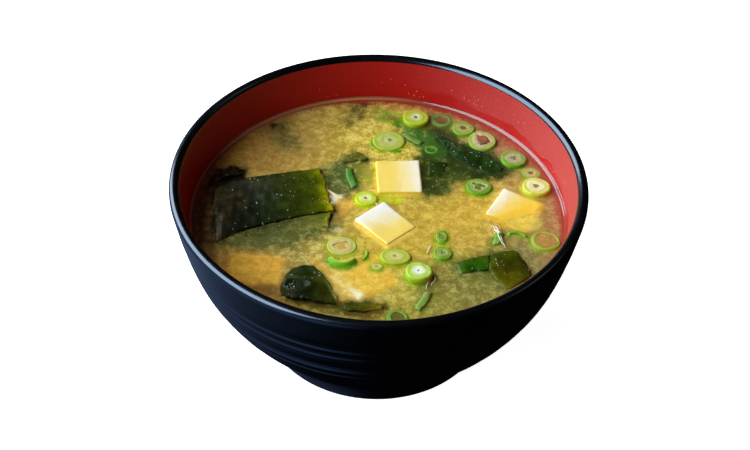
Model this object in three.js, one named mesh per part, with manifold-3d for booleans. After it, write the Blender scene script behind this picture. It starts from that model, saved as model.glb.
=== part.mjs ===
// Miso soup in a turned lacquer bowl: broth, bean curd dice, seaweed leaves and spring onion slices.
// Millimetres, +Z up. The origin is the middle of the foot ring, on the table.
import * as THREE from 'three';
import { RoundedBoxGeometry } from 'three/addons/geometries/RoundedBoxGeometry.js';
import { mergeVertices } from 'three/addons/utils/BufferGeometryUtils.js';
import Module from 'manifold-3d';

// Bowl
const rimRadius = 57.5;
const bowlHeight = 55.8;
const wallAtRim = 3;
const lipRound = 0.7;
const footEdge = 0.4;
const footRadius = 33;
const footHeight = 7;
const footWall = 4.2;
const footRecess = 4.6;
const floorHeight = 9;
const grooveCount = 8;
const grooveDepth = 0.35;
const grooveHalfWidth = 0.5;
const wallSteps = 8;
const turnSteps = 48;

// Broth
const brothLevel = 42;
const clearance = 0.3;

// Garnish
const curdEdgeRound = 0.6;
const sliceSides = 12;
const sliceUnevenness = 0.02;
const islandAtLeast = 1;
const leafSteps = 8;
const leafRows = 3;
const leafThickness = 0.8;
const stripThickness = 0.9;
const wellHeadroom = 6;

const wasm = await Module();
wasm.setup();

const colours = {
  lacquer: { color: 0x0b0c10, roughness: 0.3, metalness: 0 },
  broth: { color: 0xb0955a, roughness: 0.25, metalness: 0 },
  curd: { color: 0xf6ecc8, roughness: 0.45, metalness: 0 },
  seaweed: { color: 0x1f2a12, roughness: 0.25, metalness: 0 },
  lightSeaweed: { color: 0x4c5a14, roughness: 0.25, metalness: 0 },
  paleOnion: { color: 0xb9cc6a, roughness: 0.4, metalness: 0 },
  greenOnion: { color: 0x5f9a2c, roughness: 0.4, metalness: 0 },
};

const radians = THREE.MathUtils.degToRad;

function material(name) {
  return new THREE.MeshStandardMaterial(colours[name]);
}

// Joining and cutting

function closedMesh(geometry) {
  const bare = geometry.index ? geometry.toNonIndexed() : geometry.clone();
  bare.deleteAttribute('normal');
  bare.deleteAttribute('uv');
  const merged = mergeVertices(bare, 1e-4);
  const kept = [];
  const index = merged.index.array;
  for (let i = 0; i < index.length; i += 3) {
    const [a, b, c] = index.subarray(i, i + 3);
    if (a !== b && b !== c && a !== c) kept.push(a, b, c);
  }
  merged.setIndex(kept);
  return merged;
}

function solidOf(geometry) {
  const closed = closedMesh(geometry);
  return new wasm.Manifold(new wasm.Mesh({
    numProp: 3,
    vertProperties: closed.attributes.position.array,
    triVerts: new Uint32Array(closed.index.array),
  }));
}

function geometryOf(solid) {
  const { vertProperties, triVerts } = solid.getMesh();
  const geometry = new THREE.BufferGeometry();
  geometry.setAttribute('position', new THREE.BufferAttribute(vertProperties, 3));
  geometry.setIndex(new THREE.BufferAttribute(triVerts, 1));
  return geometry;
}

// Bowl: one profile turned about Z, from under the foot, up the outer wall, over the lip and down
// the inside.

const outerWall = new THREE.CubicBezierCurve(
  new THREE.Vector2(footRadius + 1.7, footHeight),
  new THREE.Vector2(52.3, 24.5),
  new THREE.Vector2(54.4, 36.2),
  new THREE.Vector2(rimRadius, bowlHeight - lipRound),
);

const innerWall = new THREE.CubicBezierCurve(
  new THREE.Vector2(rimRadius - wallAtRim, bowlHeight - lipRound),
  new THREE.Vector2(52.5, 33.5),
  new THREE.Vector2(44, floorHeight),
  new THREE.Vector2(14, floorHeight),
);

function turned(profile) {
  return new THREE.LatheGeometry(profile, turnSteps).rotateX(Math.PI / 2);
}

// The turned grooves stand a little unevenly between the foot and the plain band under the lip.
function groovedWall() {
  const first = 0.1;
  const last = 0.8;
  const length = outerWall.getLength();
  const points = [outerWall.getPointAt(0)];
  for (let i = 0; i < grooveCount; i++) {
    const along = i / (grooveCount - 1) + 0.03 * Math.sin(i * 2.3);
    const middle = THREE.MathUtils.clamp(first + (last - first) * along, first, last);
    const half = grooveHalfWidth / length;
    const tangent = outerWall.getTangentAt(middle);
    const inwards = new THREE.Vector2(-tangent.y, tangent.x).multiplyScalar(grooveDepth);
    points.push(outerWall.getPointAt(middle - half));
    points.push(outerWall.getPointAt(middle).add(inwards));
    points.push(outerWall.getPointAt(middle + half));
  }
  points.push(outerWall.getPointAt(0.9));
  points.push(outerWall.getPointAt(1));
  return points;
}

// The lip is flat on top between two rounded edges.
function lip() {
  const outer = rimRadius - lipRound;
  const inner = rimRadius - wallAtRim + lipRound;
  const edge = (middle, angle) => new THREE.Vector2(
    middle + lipRound * Math.cos(radians(angle)),
    bowlHeight - lipRound + lipRound * Math.sin(radians(angle)),
  );
  return [edge(outer, 45), edge(outer, 90), edge(inner, 90), edge(inner, 135)];
}

function foot() {
  const inner = footRadius - footWall;
  return [
    new THREE.Vector2(0, footRecess),
    new THREE.Vector2(inner - 0.8, footRecess),
    new THREE.Vector2(inner, 0.8),
    new THREE.Vector2(inner + 0.5, 0),
    new THREE.Vector2(footRadius - footEdge, 0),
    new THREE.Vector2(footRadius, footEdge),
    new THREE.Vector2(footRadius + 0.4, footHeight - 1.6),
  ];
}

function makeBowl() {
  const inside = innerWall.getSpacedPoints(wallSteps);
  const profile = [...foot(), ...groovedWall(), ...lip(), ...inside];
  profile.push(new THREE.Vector2(0, floorHeight));
  return turned(profile);
}

// Broth: the inside of the bowl up to the level, less a well round each piece that shows.

function wallAt(height) {
  let above = 0;
  let below = 1;
  for (let i = 0; i < 40; i++) {
    const middle = (above + below) / 2;
    if (innerWall.getPointAt(middle).y > height) above = middle;
    else below = middle;
  }
  return above;
}

function makeBroth(wells) {
  const wetEdge = wallAt(brothLevel);
  const profile = [new THREE.Vector2(0, floorHeight + clearance)];
  for (let i = wallSteps; i / wallSteps > wetEdge; i--) {
    const at = i / wallSteps;
    const tangent = innerWall.getTangentAt(at);
    const inwards = new THREE.Vector2(tangent.y, -tangent.x).multiplyScalar(clearance);
    profile.push(innerWall.getPointAt(at).add(inwards));
  }
  const edgeRadius = innerWall.getPointAt(wetEdge).x - 1.5 * clearance;
  profile.push(new THREE.Vector2(edgeRadius, brothLevel));
  profile.push(new THREE.Vector2(0, brothLevel));
  let broth = solidOf(turned(profile));
  for (const well of wells) broth = broth.subtract(well);
  return geometryOf(broth);
}

// Garnish. Each maker returns a mesh, and in userData.well the geometry of its well in the
// broth, in the mesh's own frame: the same outline with clearance round and under it, prolonged
// upwards through the surface.

function prism(outline, hole, low, high) {
  const shape = new THREE.Shape(outline);
  if (hole) shape.holes.push(new THREE.Path(hole));
  const options = { depth: high - low, bevelEnabled: false };
  return new THREE.ExtrudeGeometry(shape, options).translate(0, 0, low);
}

function garnish(name, geometry, look, well) {
  const mesh = new THREE.Mesh(geometry, material(look));
  mesh.name = name;
  mesh.userData.well = well;
  return mesh;
}

// A die floats with its upper face `rise` above the broth; lean tips it about X and Y.
function makeDie({ name, x, y, wide, deep, tall, rise, turn, lean }) {
  const body = new RoundedBoxGeometry(wide, deep, tall, 1, curdEdgeRound);
  const well = new THREE.BoxGeometry(
    wide + 2 * clearance,
    deep + 2 * clearance,
    tall + clearance + wellHeadroom,
  ).translate(0, 0, (wellHeadroom - clearance) / 2);
  const mesh = garnish(name, body, 'curd', well);
  mesh.rotation.set(radians(lean[0]), radians(lean[1]), radians(turn), 'ZXY');
  mesh.position.set(x, y, brothLevel + rise);
  mesh.translateZ(-tall / 2);
  return mesh;
}

// An onion slice is an uneven ring cut from a stalk, hollow or nearly solid.
function sliceOutline(radius, stretch) {
  const points = [];
  for (let i = 0; i < sliceSides; i++) {
    const angle = (2 * Math.PI * i) / sliceSides;
    const uneven = Math.cos(2 * angle + 1) + Math.cos(3 * angle);
    const reach = radius * (1 + sliceUnevenness * uneven);
    points.push(new THREE.Vector2(reach * Math.cos(angle), reach * stretch * Math.sin(angle)));
  }
  return points;
}

function makeSlice({ name, x, y, radius, hole, tall, rise, look, stretch = 1, lean = [0, 0] }) {
  const outline = sliceOutline(radius, stretch);
  const body = prism(outline, sliceOutline(hole, stretch), -tall, 0);
  const island = hole - clearance;
  const well = prism(
    sliceOutline(radius + clearance, stretch),
    island > islandAtLeast ? sliceOutline(island, stretch) : null,
    -tall - clearance,
    wellHeadroom,
  );
  const mesh = garnish(name, body, look, well);
  mesh.rotation.set(radians(lean[0]), radians(lean[1]), 0);
  mesh.position.set(x, y, brothLevel + rise);
  return mesh;
}

// Part of a ring: a curved band of green skin standing on edge.
function bandOutline(radius, wall, from, to, room) {
  const start = radians(from) - room / radius;
  const end = radians(to) + room / radius;
  const shape = new THREE.Path();
  shape.absarc(0, 0, radius + room, start, end, false);
  shape.absarc(0, 0, radius - wall - room, end, start, true);
  const points = shape.getPoints(5);
  return points.filter((p, i) => i === 0 || p.distanceTo(points[i - 1]) > 1e-3);
}

function makeBand({ name, x, y, radius, wall, from, to, tall, rise, look }) {
  const body = prism(bandOutline(radius, wall, from, to, 0), null, -tall, 0);
  const well = prism(
    bandOutline(radius, wall, from, to, clearance),
    null,
    -tall - clearance,
    wellHeadroom,
  );
  const mesh = garnish(name, body, look, well);
  mesh.position.set(x, y, brothLevel + rise);
  return mesh;
}

// A leaf is a thin wavy sheet between a far edge and a near edge, each a smooth curve through a
// few points [x, y, height above the broth]. Both faces are split into triangles alike.
function edgeCurve(points) {
  return new THREE.CatmullRomCurve3(
    points.map(([x, y, z]) => new THREE.Vector3(x, y, brothLevel + z)),
    false,
    'catmullrom',
    0.5,
  );
}

function leafPoint({ far, near, ripple, waves }, u, v) {
  const point = near.getPoint(u).lerp(far.getPoint(u), v);
  const swell = Math.sin(Math.PI * waves * u + 2 * v) * Math.sin(Math.PI * v);
  point.z += ripple * swell;
  return point;
}

function leafSheet(leaf, thickness) {
  const grid = new THREE.PlaneGeometry(1, 1, leafSteps, leafRows);
  const count = grid.attributes.position.count;
  const points = [];
  for (const side of [1, -1]) {
    for (let i = 0; i < count; i++) {
      const u = grid.attributes.position.getX(i) + 0.5;
      const v = grid.attributes.position.getY(i) + 0.5;
      const point = leafPoint(leaf, u, v);
      points.push(point.x, point.y, point.z + (side * thickness) / 2);
    }
  }
  const upper = Array.from(grid.index.array);
  const index = [...upper];
  for (let i = 0; i < upper.length; i += 3) {
    index.push(upper[i] + count, upper[i + 2] + count, upper[i + 1] + count);
  }
  const border = leafBorder();
  border.forEach((here, i) => {
    const next = border[(i + 1) % border.length];
    index.push(here, here + count, next, next, here + count, next + count);
  });
  const sheet = new THREE.BufferGeometry();
  sheet.setAttribute('position', new THREE.Float32BufferAttribute(points, 3));
  sheet.setIndex(index);
  return sheet;
}

// The grid's border vertices, counterclockwise from above, starting at the near left corner.
function leafBorder() {
  const row = leafSteps + 1;
  const last = row * leafRows;
  const border = [];
  for (let i = 0; i < leafSteps; i++) border.push(last + i);
  for (let j = leafRows; j > 0; j--) border.push(j * row + leafSteps);
  for (let i = leafSteps; i > 0; i--) border.push(i);
  for (let j = 0; j < leafRows; j++) border.push(j * row);
  return border;
}

function outwards(from, to) {
  const along = to.clone().sub(from).normalize();
  return new THREE.Vector2(along.y, -along.x);
}

// The leaf's border moved outwards by the clearance, corners mitred, as the outline of its well.
function leafWell(leaf, thickness) {
  const sheet = leafSheet(leaf, thickness);
  const position = sheet.attributes.position;
  const outline = leafBorder().map((i) => new THREE.Vector2(position.getX(i), position.getY(i)));
  const wider = outline.map((point, i) => {
    const before = outwards(outline.at(i - 1), point);
    const after = outwards(point, outline[(i + 1) % outline.length]);
    const mitre = before.clone().add(after).divideScalar(1 + before.dot(after));
    return mitre.multiplyScalar(clearance).add(point);
  });
  sheet.computeBoundingBox();
  return prism(wider, null, sheet.boundingBox.min.z - clearance, brothLevel + wellHeadroom);
}

function makeLeaf({ name, far, near, look, ripple = 0.3, waves = 2, thickness = leafThickness }) {
  const leaf = { far: edgeCurve(far), near: edgeCurve(near), ripple, waves };
  return garnish(name, leafSheet(leaf, thickness), look, leafWell(leaf, thickness));
}

// Bean curd, cut into dice of about 13 mm
const dice = [
  { name: 'back', x: 5.6, y: 15, wide: 13, deep: 14, tall: 11, rise: 1, turn: 4, lean: [1, 0] },
  { name: 'middle', x: 2.2, y: -5.2, wide: 13.4, deep: 11.2, tall: 11, rise: 1, turn: -46, lean: [0, 3] },
  { name: 'right', x: 38.4, y: 2.9, wide: 12.4, deep: 12.2, tall: 11, rise: 0.4, turn: -28, lean: [3, 4] },
  { name: 'wedge', x: -13.9, y: 2.2, wide: 10.8, deep: 10.8, tall: 10, rise: -0.3, turn: -35, lean: [5, 5] },
  { name: 'front', x: -3, y: -25.2, wide: 13, deep: 13, tall: 11, rise: -1.2, turn: 32, lean: [-6, 5] },
];

// Thick pale onion slices from the white end of the stalk, most of them nearly solid
const paleSlices = [
  { name: 'back_1', x: 3.3, y: 43.4, radius: 2.9, hole: 0.9, tall: 1.6, rise: 0.1 },
  { name: 'back_2', x: 10.5, y: 42.2, radius: 3.9, hole: 0.6, tall: 3.2, rise: 1.6 },
  { name: 'back_4', x: 24.8, y: 38.6, radius: 3.4, hole: 1.1, tall: 2.4, rise: 0.8 },
  { name: 'back_5', x: 30.2, y: 32.4, radius: 4.1, hole: 2, tall: 3, rise: 1.2, lean: [6, 0] },
  {
    name: 'back_6', x: 2.4, y: 31.4, radius: 4.8, hole: 0.7, tall: 2.4, rise: 0.9,
    stretch: 0.9, lean: [6, 0],
  },
  { name: 'side_2', x: 43.9, y: 19.1, radius: 2.9, hole: 1, tall: 1.8, rise: 0.3 },
  { name: 'side_3', x: 45, y: 11.9, radius: 4, hole: 0.9, tall: 3.2, rise: 1.6 },
  { name: 'middle_1', x: -3.6, y: 5.1, radius: 3.2, hole: 0.7, tall: 2.6, rise: 1 },
  { name: 'front_1', x: -9.8, y: -14.4, radius: 4.2, hole: 1.6, tall: 1.6, rise: 0.5, stretch: 0.95 },
  { name: 'front_2', x: 5, y: -18.4, radius: 4.2, hole: 0.7, tall: 2.2, rise: 0.9, stretch: 0.78 },
  { name: 'front_4', x: 11.3, y: -25.3, radius: 3.6, hole: 0.5, tall: 5, rise: 2.4 },
];

// Thin hollow slices from the green end
const greenSlices = [
  { name: 'back_3', x: 18.2, y: 42.6, radius: 3.5, hole: 2.5, tall: 1.8, rise: 0.4 },
  { name: 'back_7', x: 15, y: 28.4, radius: 2.3, hole: 1.2, tall: 1.5, rise: 0.3 },
  { name: 'side_1', x: 39.2, y: 24.6, radius: 3.8, hole: 1.2, tall: 2.6, rise: 1.2 },
  { name: 'side_4', x: 46.3, y: -10.2, radius: 4, hole: 3.2, tall: 1.8, rise: 0.7 },
  { name: 'right', x: 28.6, y: 11.9, radius: 3.7, hole: 2.4, tall: 2, rise: 0.8 },
  { name: 'middle_2', x: -4.1, y: 17.6, radius: 2.6, hole: 2, tall: 1.4, rise: 0.2, stretch: 1.3 },
  { name: 'front_3', x: 0.1, y: -22.2, radius: 1.9, hole: 0.9, tall: 1.1, rise: 0.4, stretch: 0.85 },
  { name: 'front_5', x: 5.8, y: -41.2, radius: 2.9, hole: 2, tall: 1.8, rise: 0.6 },
  { name: 'loop_1', x: 17.7, y: -9.6, radius: 1.7, hole: 0.8, tall: 1.6, rise: 0.6, stretch: 1.6 },
  { name: 'loop_2', x: 17.9, y: -16.4, radius: 2.6, hole: 1.2, tall: 1.8, rise: 0.8, stretch: 1.1 },
];

// Parts of rings of green skin
const bands = [
  { name: 'crescent', x: -9.2, y: -18.3, radius: 4.4, wall: 0.9, from: 197, to: 333, tall: 2, rise: 1.2 },
  { name: 'arc_front', x: -5.4, y: -17.2, radius: 3.1, wall: 0.8, from: -52, to: 22, tall: 1.4, rise: 0.4 },
  { name: 'arc_right', x: 38.4, y: -10, radius: 3.4, wall: 0.8, from: 25, to: 140, tall: 1.6, rise: 0.6 },
];

// Strips of onion green, lying flat
const strips = [
  {
    name: 'strip_back',
    far: [[7.4, 36.4, 0.1], [10.6, 33.6, 0.3], [13.2, 31.6, 0.1]],
    near: [[6, 34.8, 0], [9, 32, 0.3], [12, 30.2, 0.1]],
  },
  {
    name: 'strip_middle',
    far: [[-7.6, 18.8, 0.1], [-7, 14.4, 0.4], [-5.6, 10.2, 0.1]],
    near: [[-9.9, 18.6, 0.1], [-9.4, 14.2, 0.4], [-8, 10, 0.1]],
  },
  {
    name: 'strip_front',
    far: [[15.4, -31.2, 0], [14, -35, 0.3], [12, -38.6, 0]],
    near: [[13, -31, 0], [11.6, -34.6, 0.3], [9.9, -37.8, 0]],
  },
  {
    name: 'strip_right',
    far: [[35, -7, 0.4], [34.5, -9.8, 0.5], [33.6, -12.4, 0.1]],
    near: [[33, -6.8, 0.4], [32.3, -9.6, 0.5], [31.6, -12, 0.1]],
  },
];

// Seaweed leaves
const leaves = [
  {
    name: 'left',
    look: 'seaweed',
    far: [[-47.6, 8, 0], [-39, 12.2, 0.7], [-28, 15.2, 0.9], [-16.8, 17.9, 1.1]],
    near: [[-44, -14.6, 0.2], [-38.4, -10.4, 0.7], [-26.6, -5.4, 1.3], [-12.4, -0.8, 1.7]],
    ripple: 0.35,
    waves: 3,
  },
  {
    name: 'left_fold',
    look: 'lightSeaweed',
    far: [[-37, -10.6, -0.3], [-26.6, -6.3, 0.1], [-20, -4.1, 0.2], [-13, -2.2, 0.2]],
    near: [[-37.6, -13.6, -0.9], [-27, -12.6, -0.8], [-20, -9.2, -0.4], [-13.4, -7, -0.2]],
  },
  {
    name: 'left_end',
    look: 'seaweed',
    far: [[-46.6, 13, 0], [-43.8, 16.2, 0.9], [-40.4, 17.8, 0.4]],
    near: [[-47.2, 10.6, 0.1], [-43.2, 12.2, 1], [-39.4, 13.8, 0.5]],
  },
  {
    name: 'middle',
    look: 'lightSeaweed',
    far: [[-13, 20.6, -0.4], [-9.6, 24.6, 0.3], [-6.4, 26, 0.4], [-3.2, 23.4, 0.3]],
    near: [[-11.4, 20, -0.4], [-8.6, 21, 0.2], [-6.4, 21.9, 0.4], [-4, 22, 0.3]],
  },
  {
    name: 'back',
    look: 'seaweed',
    far: [[17, 38, -0.1], [20.6, 33.2, 0.4], [25.6, 28.6, 0.7], [31.4, 26.8, 0.7], [36.4, 20.6, 0.2]],
    near: [[15, 37.2, -0.1], [18.7, 30.2, 0.4], [22.5, 23.8, 0.6], [28.5, 19.8, 0.6], [35.4, 18.4, 0.1]],
    ripple: 0.5,
    waves: 4,
  },
  {
    name: 'back_branch',
    look: 'seaweed',
    far: [[20.4, 22.4, 0], [18.4, 15.8, -0.1], [16.8, 10.4, -0.4]],
    near: [[14.2, 24.4, 0], [13.6, 16.6, -0.1], [13.8, 10.6, -0.4]],
  },
  {
    name: 'right',
    look: 'lightSeaweed',
    far: [[37.4, -13.8, 0.2], [39, -16.4, 0.6], [41.2, -21, 0.4], [42.2, -23.6, 0]],
    near: [[30, -16.4, 0.3], [30.3, -22.4, 0.8], [32.8, -27.4, 0.6], [36, -29.6, 0]],
    ripple: 0.4,
  },
  {
    name: 'right_tip',
    look: 'lightSeaweed',
    far: [[21, -19.8, -0.2], [25, -18.1, 0.3], [29, -16.9, 0.4]],
    near: [[22.4, -24.2, -0.2], [25.6, -23.4, 0.3], [29.2, -22.8, 0.5]],
  },
  {
    name: 'front',
    look: 'seaweed',
    far: [[-25.4, -30, 0], [-22.9, -24.8, 0.8], [-17.6, -23.3, 1.2], [-13.8, -27, 0.9], [-9.8, -35.2, 0.2]],
    near: [[-25.2, -34.4, 0], [-22, -36, 0.7], [-18.4, -36.6, 1], [-14, -37.2, 0.7], [-10.2, -37.2, 0.2]],
    ripple: 1.1,
    waves: 1,
  },
  {
    name: 'front_band',
    look: 'lightSeaweed',
    far: [[-8.4, -36.3, 0.2], [-4.5, -35.9, 0.5], [-0.5, -36.3, 0.4], [2.6, -37, 0]],
    near: [[-9, -38.8, 0.1], [-5.5, -39.8, 0.4], [-2, -39.5, 0.4], [2.2, -38.3, 0]],
  },
];

const soupBowl = new THREE.Group();

const bowl = new THREE.Mesh(makeBowl(), material('lacquer'));
bowl.name = 'bowl';
soupBowl.add(bowl);

const contents = new THREE.Group();

function addAll(kind, make, pieces, common) {
  for (const piece of pieces) {
    contents.add(make({ ...common, ...piece, name: `${kind}_${piece.name}` }));
  }
}

addAll('tofu', makeDie, dice);
addAll('scallion', makeSlice, paleSlices, { look: 'paleOnion' });
addAll('scallion', makeSlice, greenSlices, { look: 'greenOnion' });
addAll('scallion', makeBand, bands, { look: 'greenOnion' });
addAll('scallion', makeLeaf, strips, { look: 'greenOnion', ripple: 0.2, thickness: stripThickness });
addAll('wakame', makeLeaf, leaves);
soupBowl.add(contents);

const wells = contents.children.map((piece) => {
  piece.updateMatrix();
  return solidOf(piece.userData.well.clone().applyMatrix4(piece.matrix));
});
const broth = new THREE.Mesh(makeBroth(wells), material('broth'));
broth.name = 'soup';
soupBowl.add(broth);

export default soupBowl;
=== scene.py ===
# Miso soup in a turned lacquer bowl: cloudy broth, bean curd dice, wakame and spring onion.
import math

import bmesh
import bpy
import numpy as np
from mathutils import Matrix, Vector


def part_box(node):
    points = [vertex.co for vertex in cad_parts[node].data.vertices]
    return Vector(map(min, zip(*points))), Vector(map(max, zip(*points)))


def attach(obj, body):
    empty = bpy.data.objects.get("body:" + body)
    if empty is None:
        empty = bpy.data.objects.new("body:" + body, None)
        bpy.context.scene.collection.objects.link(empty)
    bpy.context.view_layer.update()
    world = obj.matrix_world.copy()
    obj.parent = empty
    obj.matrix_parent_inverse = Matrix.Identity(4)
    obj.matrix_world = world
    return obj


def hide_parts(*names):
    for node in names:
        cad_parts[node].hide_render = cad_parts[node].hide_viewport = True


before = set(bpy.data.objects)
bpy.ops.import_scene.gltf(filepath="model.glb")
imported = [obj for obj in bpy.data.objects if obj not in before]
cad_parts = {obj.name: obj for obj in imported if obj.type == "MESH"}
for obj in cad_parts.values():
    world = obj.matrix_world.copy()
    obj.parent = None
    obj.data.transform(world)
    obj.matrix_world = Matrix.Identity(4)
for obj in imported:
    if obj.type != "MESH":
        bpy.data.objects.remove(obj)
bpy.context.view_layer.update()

mm = 0.001  # shapes are worked out in millimetres and made in metres


# Colours and node maths

def tone(red, green, blue):
    # a colour in everyday screen levels, 0 to 255, made linear for the shaders
    shares = np.array([red, green, blue]) / 255
    linear = np.where(shares <= 0.04045, shares / 12.92, ((shares + 0.055) / 1.055) ** 2.4)
    return (*linear.tolist(), 1.0)


class Wire:
    # one socket of a node tree, so that expressions on it add their nodes
    def __init__(self, tree, socket=None):
        self.tree = tree
        self.socket = socket

    def add(self, kind, settings=None, inputs=None, output=0):
        node = self.tree.nodes.new(kind)
        for key, value in (settings or {}).items():
            setattr(node, key, value)
        for key, value in (inputs or {}).items():
            if isinstance(value, Wire):
                self.tree.links.new(value.socket, node.inputs[key])
            else:
                node.inputs[key].default_value = value
        return Wire(self.tree, node.outputs[output]) if len(node.outputs) else None

    def output(self, name):
        return Wire(self.tree, self.socket.node.outputs[name])

    def maths(self, operation, *others):
        return self.add("ShaderNodeMath", {"operation": operation}, dict(enumerate((self, *others))))

    def vectors(self, operation, other):
        return self.add("ShaderNodeVectorMath", {"operation": operation}, {0: self, 1: other})

    def __add__(self, other):
        return self.maths("ADD", other)

    def __mul__(self, other):
        return self.maths("MULTIPLY", other)

    __radd__ = __add__  # a number may also stand first
    __rmul__ = __mul__

    def __sub__(self, other):
        return self.maths("SUBTRACT", other)

    def __rsub__(self, other):
        return self.add("ShaderNodeMath", {"operation": "SUBTRACT"}, {0: other, 1: self})

    def __truediv__(self, other):
        return self.maths("DIVIDE", other)

    def tinted(self, factors):
        return self.vectors("MULTIPLY", factors)

    def scaled(self, factor):
        return self.add("ShaderNodeVectorMath", {"operation": "SCALE"}, {0: self, "Scale": factor})

    def smooth(self, low, high):
        # 0 below low, 1 above high, and a soft step between them
        span = {"Value": self, "From Min": low, "From Max": high}
        return self.add("ShaderNodeMapRange", {"interpolation_type": "SMOOTHSTEP"}, span)

    def between(self, first, second):
        # mixes two colours by this share
        settings = {"data_type": "RGBA", "blend_type": "MIX", "clamp_factor": True}
        return self.add("ShaderNodeMix", settings, {0: self, 6: first, 7: second}, 2)

    def noise(self, size, detail=2.0, roughness=0.5):
        # on this place, with waves of size millimetres
        inputs = {"Vector": self, "Scale": 1 / (size * mm), "Detail": detail, "Roughness": roughness}
        return self.add("ShaderNodeTexNoise", None, inputs)

    def bump(self, depth, strength):
        inputs = {"Height": self, "Distance": depth * mm, "Strength": strength}
        return self.add("ShaderNodeBump", None, inputs)

    def parts(self):
        # stands for x by itself, and y and z are its other outputs
        return self.add("ShaderNodeSeparateXYZ", None, {0: self})

    def vector(self, x, y, z):
        return self.add("ShaderNodeCombineXYZ", None, {0: x, 1: y, 2: z})

    def painted(self, name, output="Fac"):
        # what paintPoints left on the mesh, in a material
        return self.add("ShaderNodeAttribute", {"attribute_name": name}).output(output)

    def marked(self, name):
        # the same in a geometry tree
        return self.add("GeometryNodeInputNamedAttribute", {"data_type": "FLOAT"}, {"Name": name})


def finish(name, recipe):
    # a material from a function that returns the values and wires of the Principled sockets
    material = bpy.data.materials.new(name)
    material.use_nodes = True
    tree = material.node_tree
    tree.nodes.clear()
    start = Wire(tree)
    shader = start.add("ShaderNodeBsdfPrincipled", None, recipe(start))
    start.add("ShaderNodeOutputMaterial", None, {"Surface": shader})
    return material


def objectPlace(start):
    return start.add("ShaderNodeTexCoord").output("Object")


def soft(weight, radius, scale):
    # how far light goes into a thing, scale in millimetres
    return {"Subsurface Weight": weight, "Subsurface Radius": radius, "Subsurface Scale": scale * mm}


# Shapes worked out with numpy, in millimetres

def throughPoints(points, steps):
    # a smooth curve through a few points
    given = np.asarray(points, float)
    padded = np.vstack([2 * given[0] - given[1], given, 2 * given[-1] - given[-2]])
    along = np.linspace(0, len(given) - 1, steps)
    piece = np.minimum(along.astype(int), len(given) - 2)
    share = (along - piece)[:, None]
    a, b, c, d = (padded[piece + i] for i in range(4))
    bend = 2 * a - 5 * b + 4 * c - d + share * (3 * (b - c) + d - a)
    return b + 0.5 * share * (c - a + share * bend)


def circleOf(count):
    return np.linspace(0, 2 * math.pi, count, endpoint=False)


def roundAbout(radius, angles):
    return np.stack([radius * np.cos(angles), radius * np.sin(angles)], axis=-1)


def seedOf(name):
    return sum(map(ord, name))


def waves(points, size, seed):
    # smooth random waves about size millimetres long, from -1 to 1
    random = np.random.default_rng(seed)
    points = np.asarray(points, float)
    total = np.zeros(points.shape[:-1])
    for _ in range(8):
        direction = random.normal(size=points.shape[-1])
        length = size * random.uniform(0.6, 1.6)
        direction *= 2 * math.pi / (length * np.linalg.norm(direction))
        total += np.sin(points @ direction + random.uniform(0, 2 * math.pi))
    return total / 4


def softStep(value, low, high):
    share = np.clip((value - low) / (high - low), 0, 1)
    return share * share * (3 - 2 * share)


def blendTones(stops, at):
    # colours along a list of (position, colour), for each value in at
    positions = [stop[0] for stop in stops]
    channels = np.array([tone(*stop[1])[:3] for stop in stops])
    return np.stack([np.interp(at, positions, channels[:, i]) for i in range(3)], axis=-1)


def outlineDistance(points, outline):
    # distance to a closed outline, negative inside
    corners = np.asarray(outline, float)[:, :2]
    edges = np.roll(corners, -1, axis=0) - corners
    offsets = points[:, None, :] - corners[None]
    share = np.clip((offsets * edges).sum(2) / np.maximum((edges**2).sum(1), 1e-9), 0, 1)
    distance = np.sqrt(((offsets - share[..., None] * edges) ** 2).sum(2).min(1))
    height = points[:, 1][:, None]
    ends = corners + edges
    crossing = (corners[:, 1] > height) != (ends[:, 1] > height)
    rise = np.where(np.abs(edges[:, 1]) < 1e-9, 1e-9, edges[:, 1])
    crossAt = corners[:, 0] + (height - corners[:, 1]) / rise * edges[:, 0]
    inside = (crossing & (points[:, :1] < crossAt)).sum(1) % 2 == 1
    return np.where(inside, -distance, distance)


def gridFaces(rows, columns, wrapped=False, first=0):
    # quads of a grid whose points are numbered row by row
    faces = []
    for i in range(rows - 1):
        for j in range(columns if wrapped else columns - 1):
            k = (j + 1) % columns
            low, high = first + i * columns, first + (i + 1) * columns
            faces.append((low + j, low + k, high + k, high + j))
    return faces


def tubeFaces(rows, sides, first=0):
    # a closed tube: its side and a cap at each end
    last = first + (rows - 1) * sides
    caps = [tuple(range(first, first + sides)), tuple(range(last, last + sides))[::-1]]
    return gridFaces(rows, sides, wrapped=True, first=first) + caps


def bezier(points, steps):
    a, b, c, d = (np.array(point, float) for point in points)
    t = np.linspace(0, 1, steps)[:, None]
    return a * (1 - t) ** 3 + 3 * b * t * (1 - t) ** 2 + 3 * c * t * t * (1 - t) + d * t**3


# Turning points into pieces

def newMesh(name, points, faces):
    mesh = bpy.data.meshes.new(name)
    mesh.from_pydata((np.asarray(points) * mm).tolist(), [], faces)
    mesh.polygons.foreach_set("use_smooth", [True] * len(mesh.polygons))
    mesh.update()
    return mesh


def newPiece(name, mesh):
    piece = bpy.data.objects.new(name, mesh)
    bpy.context.scene.collection.objects.link(piece)
    return piece


def paintPoints(mesh, name, values):
    # one number or one colour for each point, kept on the mesh for its material
    values = np.asarray(values, np.float32)
    if values.ndim == 1:
        mesh.attributes.new(name, "FLOAT", "POINT").data.foreach_set("value", values)
        return
    if values.shape[1] == 3:
        values = np.hstack([values, np.ones((len(values), 1), np.float32)])
    mesh.attributes.new(name, "FLOAT_COLOR", "POINT").data.foreach_set("color", values.ravel())


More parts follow.
